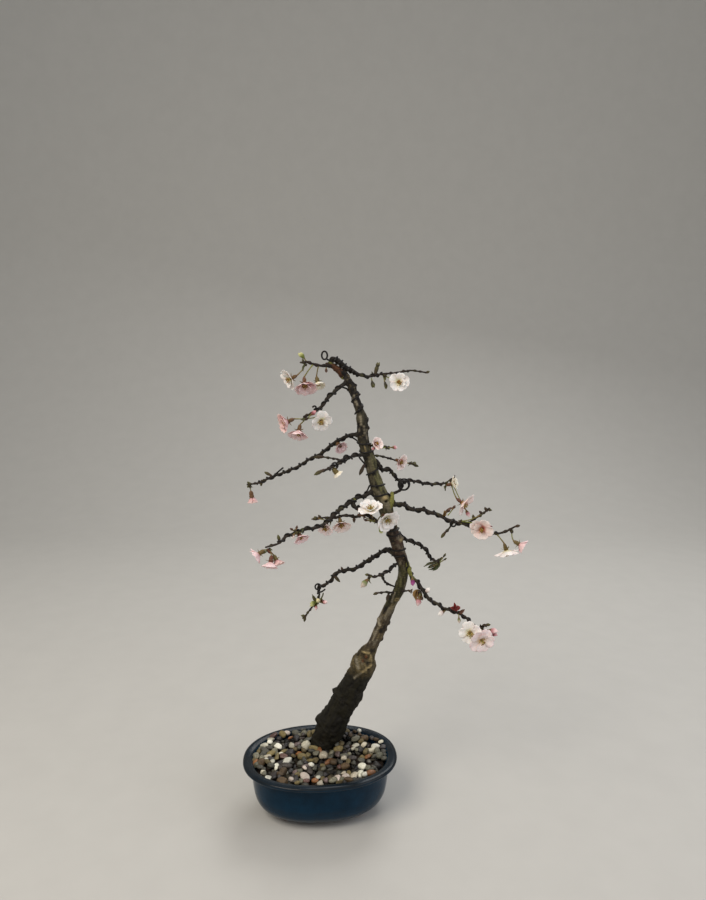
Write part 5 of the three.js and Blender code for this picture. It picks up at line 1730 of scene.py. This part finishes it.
def add_bud(shell, spur, at, length, kind, random):
    """A closed bud on its stalk, held by its calyx; a leafy one splits in two at its tip."""
    low, high = (linear(code) for code in BUD_KINDS[kind])
    heading = unit(np.array(at, float) - spur)
    side = unit(np.cross(heading, random.normal(size=3)))
    back = at - heading * length * 0.5
    add_stalk(shell, spur, back, heading, random)
    leafy = kind in ("olive", "green")

    def folds(points, straight):
        turn = np.arctan2(straight[:, 1], straight[:, 0])
        climb = straight[:, 2] / length
        return 0.035 * length * np.cos(turn * 3 + climb * 5) * smooth_step(climb, 0.3, 0.6)

    for lean in (-0.1, 0.1) if leafy else (0.0,):
        front = back + unit(heading + side * lean * 1.6) * length * (0.9 if lean < 0 else 1.0)
        route = route_through([back, (back + front) / 2 + side * lean * 0.5, front], 0.3)
        radii = length * (LEAFY_WIDTH if leafy else BUD_WIDTH) * profiled(route, BUD_PROFILE)
        points, faces, straight = tube(route, radii, 16, folds)
        climb = straight[:, 2] / length
        tint = mixed(mixed(low * 0.8, low, climb), high, smooth_step(climb, 0.45, 0.95))
        cup = 0 if leafy else 1 - smooth_step(climb, 0.28, 0.4)
        shell.add(points, faces, mixed(tint, mixed(CALYX_RED, CALYX_GREEN, 0.35), cup), SKIN)
    if not leafy:
        add_sepals(shell, back + heading * length * 0.2, heading, length * 0.4, 82, random, CALYX_RED)


def build_stalks(turns):
    skin = living_skin("stalk_cherry_fresh", 0.5, 0.9)
    scale = living_skin("bud_scale_cherry_dry", 0.75, 0.6)
    random = np.random.default_rng(FLOWER_SEED + 1)
    for place, cluster in CLUSTERS.items():
        shell = Shell()
        flowers, buds = cluster["flowers"], cluster["buds"]
        spur = spur_place(cluster["on"], [np.array(made[0], float) for made in (*flowers, *buds)], turns)
        add_spur(shell, spur, random)
        for at, facing, size, _, opening, _, *foot in flowers:
            facing = unit(facing)
            front = np.array(at) - facing * SEAT_GAP
            back = front - facing * size * CALYX_SHARE
            start = np.array(foot[0] if foot else spur)
            add_stalk(shell, start, back, facing, random, STALK_RADIUS * (0.75 + 0.015 * size))
            colour = add_calyx(shell, back, front + facing * 0.4, 2.2 - 0.5 * opening, random)
            add_sepals(shell, front, facing, 2.4 + 0.08 * size, 42 - 60 * opening, random, colour)
        for at, length, kind, *foot in buds:
            add_bud(shell, np.array(foot[0] if foot else spur), at, length, kind, random)
        for leaf in cluster["leaves"]:
            add_leaf(shell, *leaf, random)
        piece(f"pedicels_{place}", shell, [skin, scale], "stalk", f"stalks_{place}")


def build_opening_flowers(turns):
    skin = living_skin("calyx_cherry_fresh", 0.5, 0.9)
    scale = living_skin("bud_scale_cherry_shed", 0.75, 0.6)
    petal = living_skin("petal_cherry_folded", 0.55, 1.0, 0.1)
    random = np.random.default_rng(FLOWER_SEED + 2)
    for place, (branch, at, length, kind, opening) in OPENING_FLOWERS.items():
        at = np.array(at)
        spur = spur_place(branch, [at], turns)
        heading = unit(at - spur)
        seat = at - heading * length * OPENING_SEAT
        back = seat - heading * length * OPENING_CALYX
        shell = Shell()
        add_spur(shell, spur, random)
        add_stalk(shell, spur, back, heading, random)
        colour = add_calyx(shell, back, seat, 2.4, random)
        add_sepals(shell, seat - heading * 0.4, heading, 3.8, 62, random, colour)
        add_petals(shell, seat, heading, length * 1.3, kind, opening, 3, random, FOLDED)
        piece(f"half_open_{place}", shell, [skin, scale, petal], "opening_petal", f"opening_flower_{place}")


def build_leaves(turns):
    blade = living_skin("leaf_cherry_unfolding", 0.45, 0.8, 0.05)
    scale = living_skin("leaf_bud_scale_dry", 0.75, 0.6)
    random = np.random.default_rng(FLOWER_SEED + 3)
    for place, (leaves, buds) in LEAF_TUFTS.items():
        spur = spur_place(place, [np.array(tip) for tip, _ in leaves], turns)
        shell = Shell()
        add_spur(shell, spur, random)
        for leaf in leaves:
            add_leaf(shell, spur, *leaf, random)
        for bud in buds:
            add_bud(shell, spur, *bud, random)
        piece(f"young_leaves_{place}", shell, [blade, scale], "young_leaf", f"leaf_tuft_{place}")


def build_winter_buds():
    """Closed leaf buds on the bark, wrapped in overlapping scales."""
    material = living_skin("winter_bud_scale_dry", 0.7, 0.6)
    shell = Shell()
    random = np.random.default_rng(FLOWER_SEED + 4)
    for base, tip in BARK_BUDS:
        base, tip = np.array(base, float), np.array(tip, float)
        length = np.linalg.norm(tip - base) + 0.8
        route = route_through([base - unit(tip - base) * 0.6, (base + tip) / 2, tip], 0.25)

        def scales(points, straight, length=length):
            turn = np.arctan2(straight[:, 1], straight[:, 0])
            return 0.22 * (1 - (straight[:, 2] / length * 4 + 0.3 * np.cos(turn * 2)) % 1)

        radii = profiled(route, WINTER_PROFILE) * (0.75 + 0.06 * length)
        points, faces, straight = tube(route, radii, 14, scales)
        climb = np.clip(straight[:, 2] / length, 0, 1)
        brown = SCALE_BROWN * random.uniform(0.7, 1.2)
        tint = mixed(brown, CALYX_GREEN * 0.6, climb * random.uniform(0, 0.8))
        shell.add(points, faces, tint)
    piece("winter_buds", shell, [material], "bark", "tree")


# ------------------------------------------------------------------ settings

def length_setting(name, description, default):
    """A length, with its default in millimetres."""
    return bpy.props.FloatProperty(name=name, description=description, default=default * MM, unit="LENGTH")


def power_setting(name, description, default):
    return bpy.props.FloatProperty(name=name, description=description, default=default, unit="POWER")


def colour_setting(name, description, default):
    return bpy.props.FloatVectorProperty(
        name=name, description=description, default=default, subtype="COLOR",
    )


class BonsaiPotSettings(bpy.types.PropertyGroup):
    """Sizes and colours of the pot."""

    length: length_setting("Length", "Outside length over the lip", 150)
    width: length_setting("Width", "Outside width over the lip", 113)
    glaze: colour_setting("Glaze", "Glaze where it is thick", linear("06273a"))
    thin_glaze: colour_setting("Thin glaze", "Glaze where it thins over edges", linear("1d2226"))
    clay: colour_setting("Clay", "Bare clay under the feet", linear("6e4a36"))


class BonsaiWireSettings(bpy.types.PropertyGroup):
    """The training wire."""

    diameter: length_setting("Diameter", "Thickness of the wire", 1.6)
    colour: colour_setting("Colour", "Colour of the anodised skin", WIRE_BLACK)


class BonsaiFlowerSettings(bpy.types.PropertyGroup):
    """The flowers."""

    petal_light: bpy.props.FloatProperty(
        name="Petal light", description="How much light a petal scatters inside", default=0.12,
        subtype="FACTOR", min=0, max=1,
    )


class BonsaiStudioSettings(bpy.types.PropertyGroup):
    """The floor and the lights."""

    paper: colour_setting("Paper", "Colour of the floor and backdrop", linear("bdbbb5"))
    key_power: power_setting("Key light", "Power of the main soft light", 16)
    fill_power: power_setting("Fill light", "Power of the second soft light", 6)
    back_power: power_setting("Back light", "Power of the light behind", 9)


# ------------------------------------------------------------------ stage

EYE = np.array([32, -637, 439.5])  # the camera, from the middle of the bowl's underside
EYE_TILT = math.radians(82)
LENS = 28.0
NEAREST_SEEN = 0.01
FLOOR_HALF, FLOOR_ROWS, FLOOR_COLUMNS = 3.2, 12, 9
SWEEP_START, SWEEP_RADIUS, WALL_TOP = 1.0, 0.9, 3.0
LIT_SPOT = Vector((0, 0, 0.2))  # the lights look at the middle of the tree
ROOM_COLOUR, ROOM_STRENGTH = "d7d8da", 0.55


def build_floor(settings):
    """A sheet of paper that lies flat and curves up into a backdrop."""
    flat = [(y, 0.0) for y in np.linspace(-FLOOR_HALF, SWEEP_START, FLOOR_ROWS)]
    curve = [
        (SWEEP_START + SWEEP_RADIUS * math.sin(angle), SWEEP_RADIUS * (1 - math.cos(angle)))
        for angle in np.radians(np.arange(5, 95, 5))
    ]
    profile = [*flat, *curve, (SWEEP_START + SWEEP_RADIUS, WALL_TOP)]
    points = [(x, y, z) for y, z in profile for x in np.linspace(-FLOOR_HALF, FLOOR_HALF, FLOOR_COLUMNS)]
    index = np.arange(len(points)).reshape(-1, FLOOR_COLUMNS)
    faces = np.stack([index[:-1, :-1], index[:-1, 1:], index[1:, 1:], index[1:, :-1]], -1).reshape(-1, 4)
    sheet = bpy.data.meshes.new("paper_sweep")
    sheet.from_pydata(points, [], faces.tolist())
    new_object("paper_sweep", smoothed(sheet), [studio_paper(tuple(settings.paper))])


def soft_light(name, place, size, power, colour):
    """A square soft light."""
    light = bpy.data.lights.new(name, "AREA")
    light.energy = power
    light.size = size
    light.color = linear(colour)
    made = new_object(name, light)
    made.location = place
    made.rotation_euler = (LIT_SPOT - made.location).to_track_quat("-Z", "Y").to_euler()
    made.visible_camera = False


def build_lights(settings):
    soft_light("key_light", (-0.7, -0.8, 1.35), 0.8, settings.key_power, "fff6ea")
    soft_light("fill_light", (1.1, -0.5, 0.8), 1.0, settings.fill_power, "f2f4ff")
    soft_light("back_light", (0.3, 0.95, 1.3), 0.9, settings.back_power, "ffffff")
    world = bpy.data.worlds.new("soft_room")
    world.use_nodes = True
    background = world.node_tree.nodes["Background"]
    background.inputs["Color"].default_value = (*linear(ROOM_COLOUR), 1)
    background.inputs["Strength"].default_value = ROOM_STRENGTH
    bpy.context.scene.world = world


def build_camera():
    lens = bpy.data.cameras.new("camera")
    lens.lens = LENS
    lens.clip_start = NEAREST_SEEN
    made = new_object("camera", lens)
    made.location = (EYE + BOWL_MIDDLE) * MM
    made.rotation_euler = (EYE_TILT, 0, 0)
    bpy.context.scene.camera = made


# ------------------------------------------------------------------ operators

class BONSAI_OT_stage(bpy.types.Operator):
    """Lay the paper and set up the soft lights and the camera"""

    bl_idname = "bonsai.stage"
    bl_label = "Stage"

    def execute(self, context):
        build_floor(context.scene.bonsai_studio)
        build_lights(context.scene.bonsai_studio)
        build_camera()
        context.scene.view_settings.view_transform = "Standard"
        return {"FINISHED"}


class BONSAI_OT_pot(bpy.types.Operator):
    """Make the glazed pot with its feet and drain holes"""

    bl_idname = "bonsai.pot"
    bl_label = "Pot"

    def execute(self, context):
        build_pot(context.scene.bonsai_pot)
        build_screens()
        return {"FINISHED"}


class BONSAI_OT_fill(bpy.types.Operator):
    """Fill the pot with soil and dress it with river stones"""

    bl_idname = "bonsai.fill"
    bl_label = "Soil and stones"

    def execute(self, context):
        build_soil(context.scene.bonsai_pot)
        build_gravel(context.scene.bonsai_pot)
        return {"FINISHED"}


class BONSAI_OT_tree(bpy.types.Operator):
    """Grow the trunk, the roots and the branches as one piece of wood"""

    bl_idname = "bonsai.tree"
    bl_label = "Tree"

    def execute(self, context):
        build_tree()
        return {"FINISHED"}


class BONSAI_OT_wires(bpy.types.Operator):
    """Wind the training wires on the trunk and the branches"""

    bl_idname = "bonsai.wires"
    bl_label = "Wires"

    def execute(self, context):
        build_wires(context.scene.bonsai_wire)
        return {"FINISHED"}


class BONSAI_OT_flowers(bpy.types.Operator):
    """Put the corollas, the stalks with their buds and the half-open flowers on the twigs"""

    bl_idname = "bonsai.flowers"
    bl_label = "Flowers"

    def execute(self, context):
        turns = wire_search()
        build_blossoms(context.scene.bonsai_flower)
        build_stalks(turns)
        build_opening_flowers(turns)
        return {"FINISHED"}


class BONSAI_OT_leaves(bpy.types.Operator):
    """Add the tufts of young leaves and the closed winter buds"""

    bl_idname = "bonsai.leaves"
    bl_label = "Leaves and buds"

    def execute(self, context):
        build_leaves(wire_search())
        build_winter_buds()
        return {"FINISHED"}


OPERATORS = (
    BONSAI_OT_stage, BONSAI_OT_pot, BONSAI_OT_fill, BONSAI_OT_tree, BONSAI_OT_wires,
    BONSAI_OT_flowers, BONSAI_OT_leaves,
)
SETTINGS = {
    "bonsai_pot": BonsaiPotSettings,
    "bonsai_wire": BonsaiWireSettings,
    "bonsai_flower": BonsaiFlowerSettings,
    "bonsai_studio": BonsaiStudioSettings,
}


class BONSAI_PT_panel(bpy.types.Panel):
    """Sizes, colours and pieces of the bonsai"""

    bl_idname = "BONSAI_PT_panel"
    bl_label = "Cherry Blossom Bonsai"
    bl_space_type = "VIEW_3D"
    bl_region_type = "UI"
    bl_category = "Bonsai"

    def draw(self, context):
        for name in SETTINGS:
            group = getattr(context.scene, name)
            for setting in group.bl_rna.properties.keys():
                if setting not in ("rna_type", "name"):
                    self.layout.prop(group, setting)
        for operator in OPERATORS:
            self.layout.operator(operator.bl_idname)


CLASSES = (*SETTINGS.values(), *OPERATORS, BONSAI_PT_panel)


def register():
    for entry in CLASSES:
        bpy.utils.register_class(entry)
    for name, group in SETTINGS.items():
        setattr(bpy.types.Scene, name, bpy.props.PointerProperty(type=group))


def unregister():
    for name in SETTINGS:
        delattr(bpy.types.Scene, name)
    for entry in reversed(CLASSES):
        bpy.utils.unregister_class(entry)


def main():
    register()
    bpy.ops.bonsai.stage()
    bpy.ops.bonsai.pot()
    bpy.ops.bonsai.fill()
    bpy.ops.bonsai.tree()
    bpy.ops.bonsai.wires()
    bpy.ops.bonsai.flowers()
    bpy.ops.bonsai.leaves()


if __name__ == "__main__":
    main()
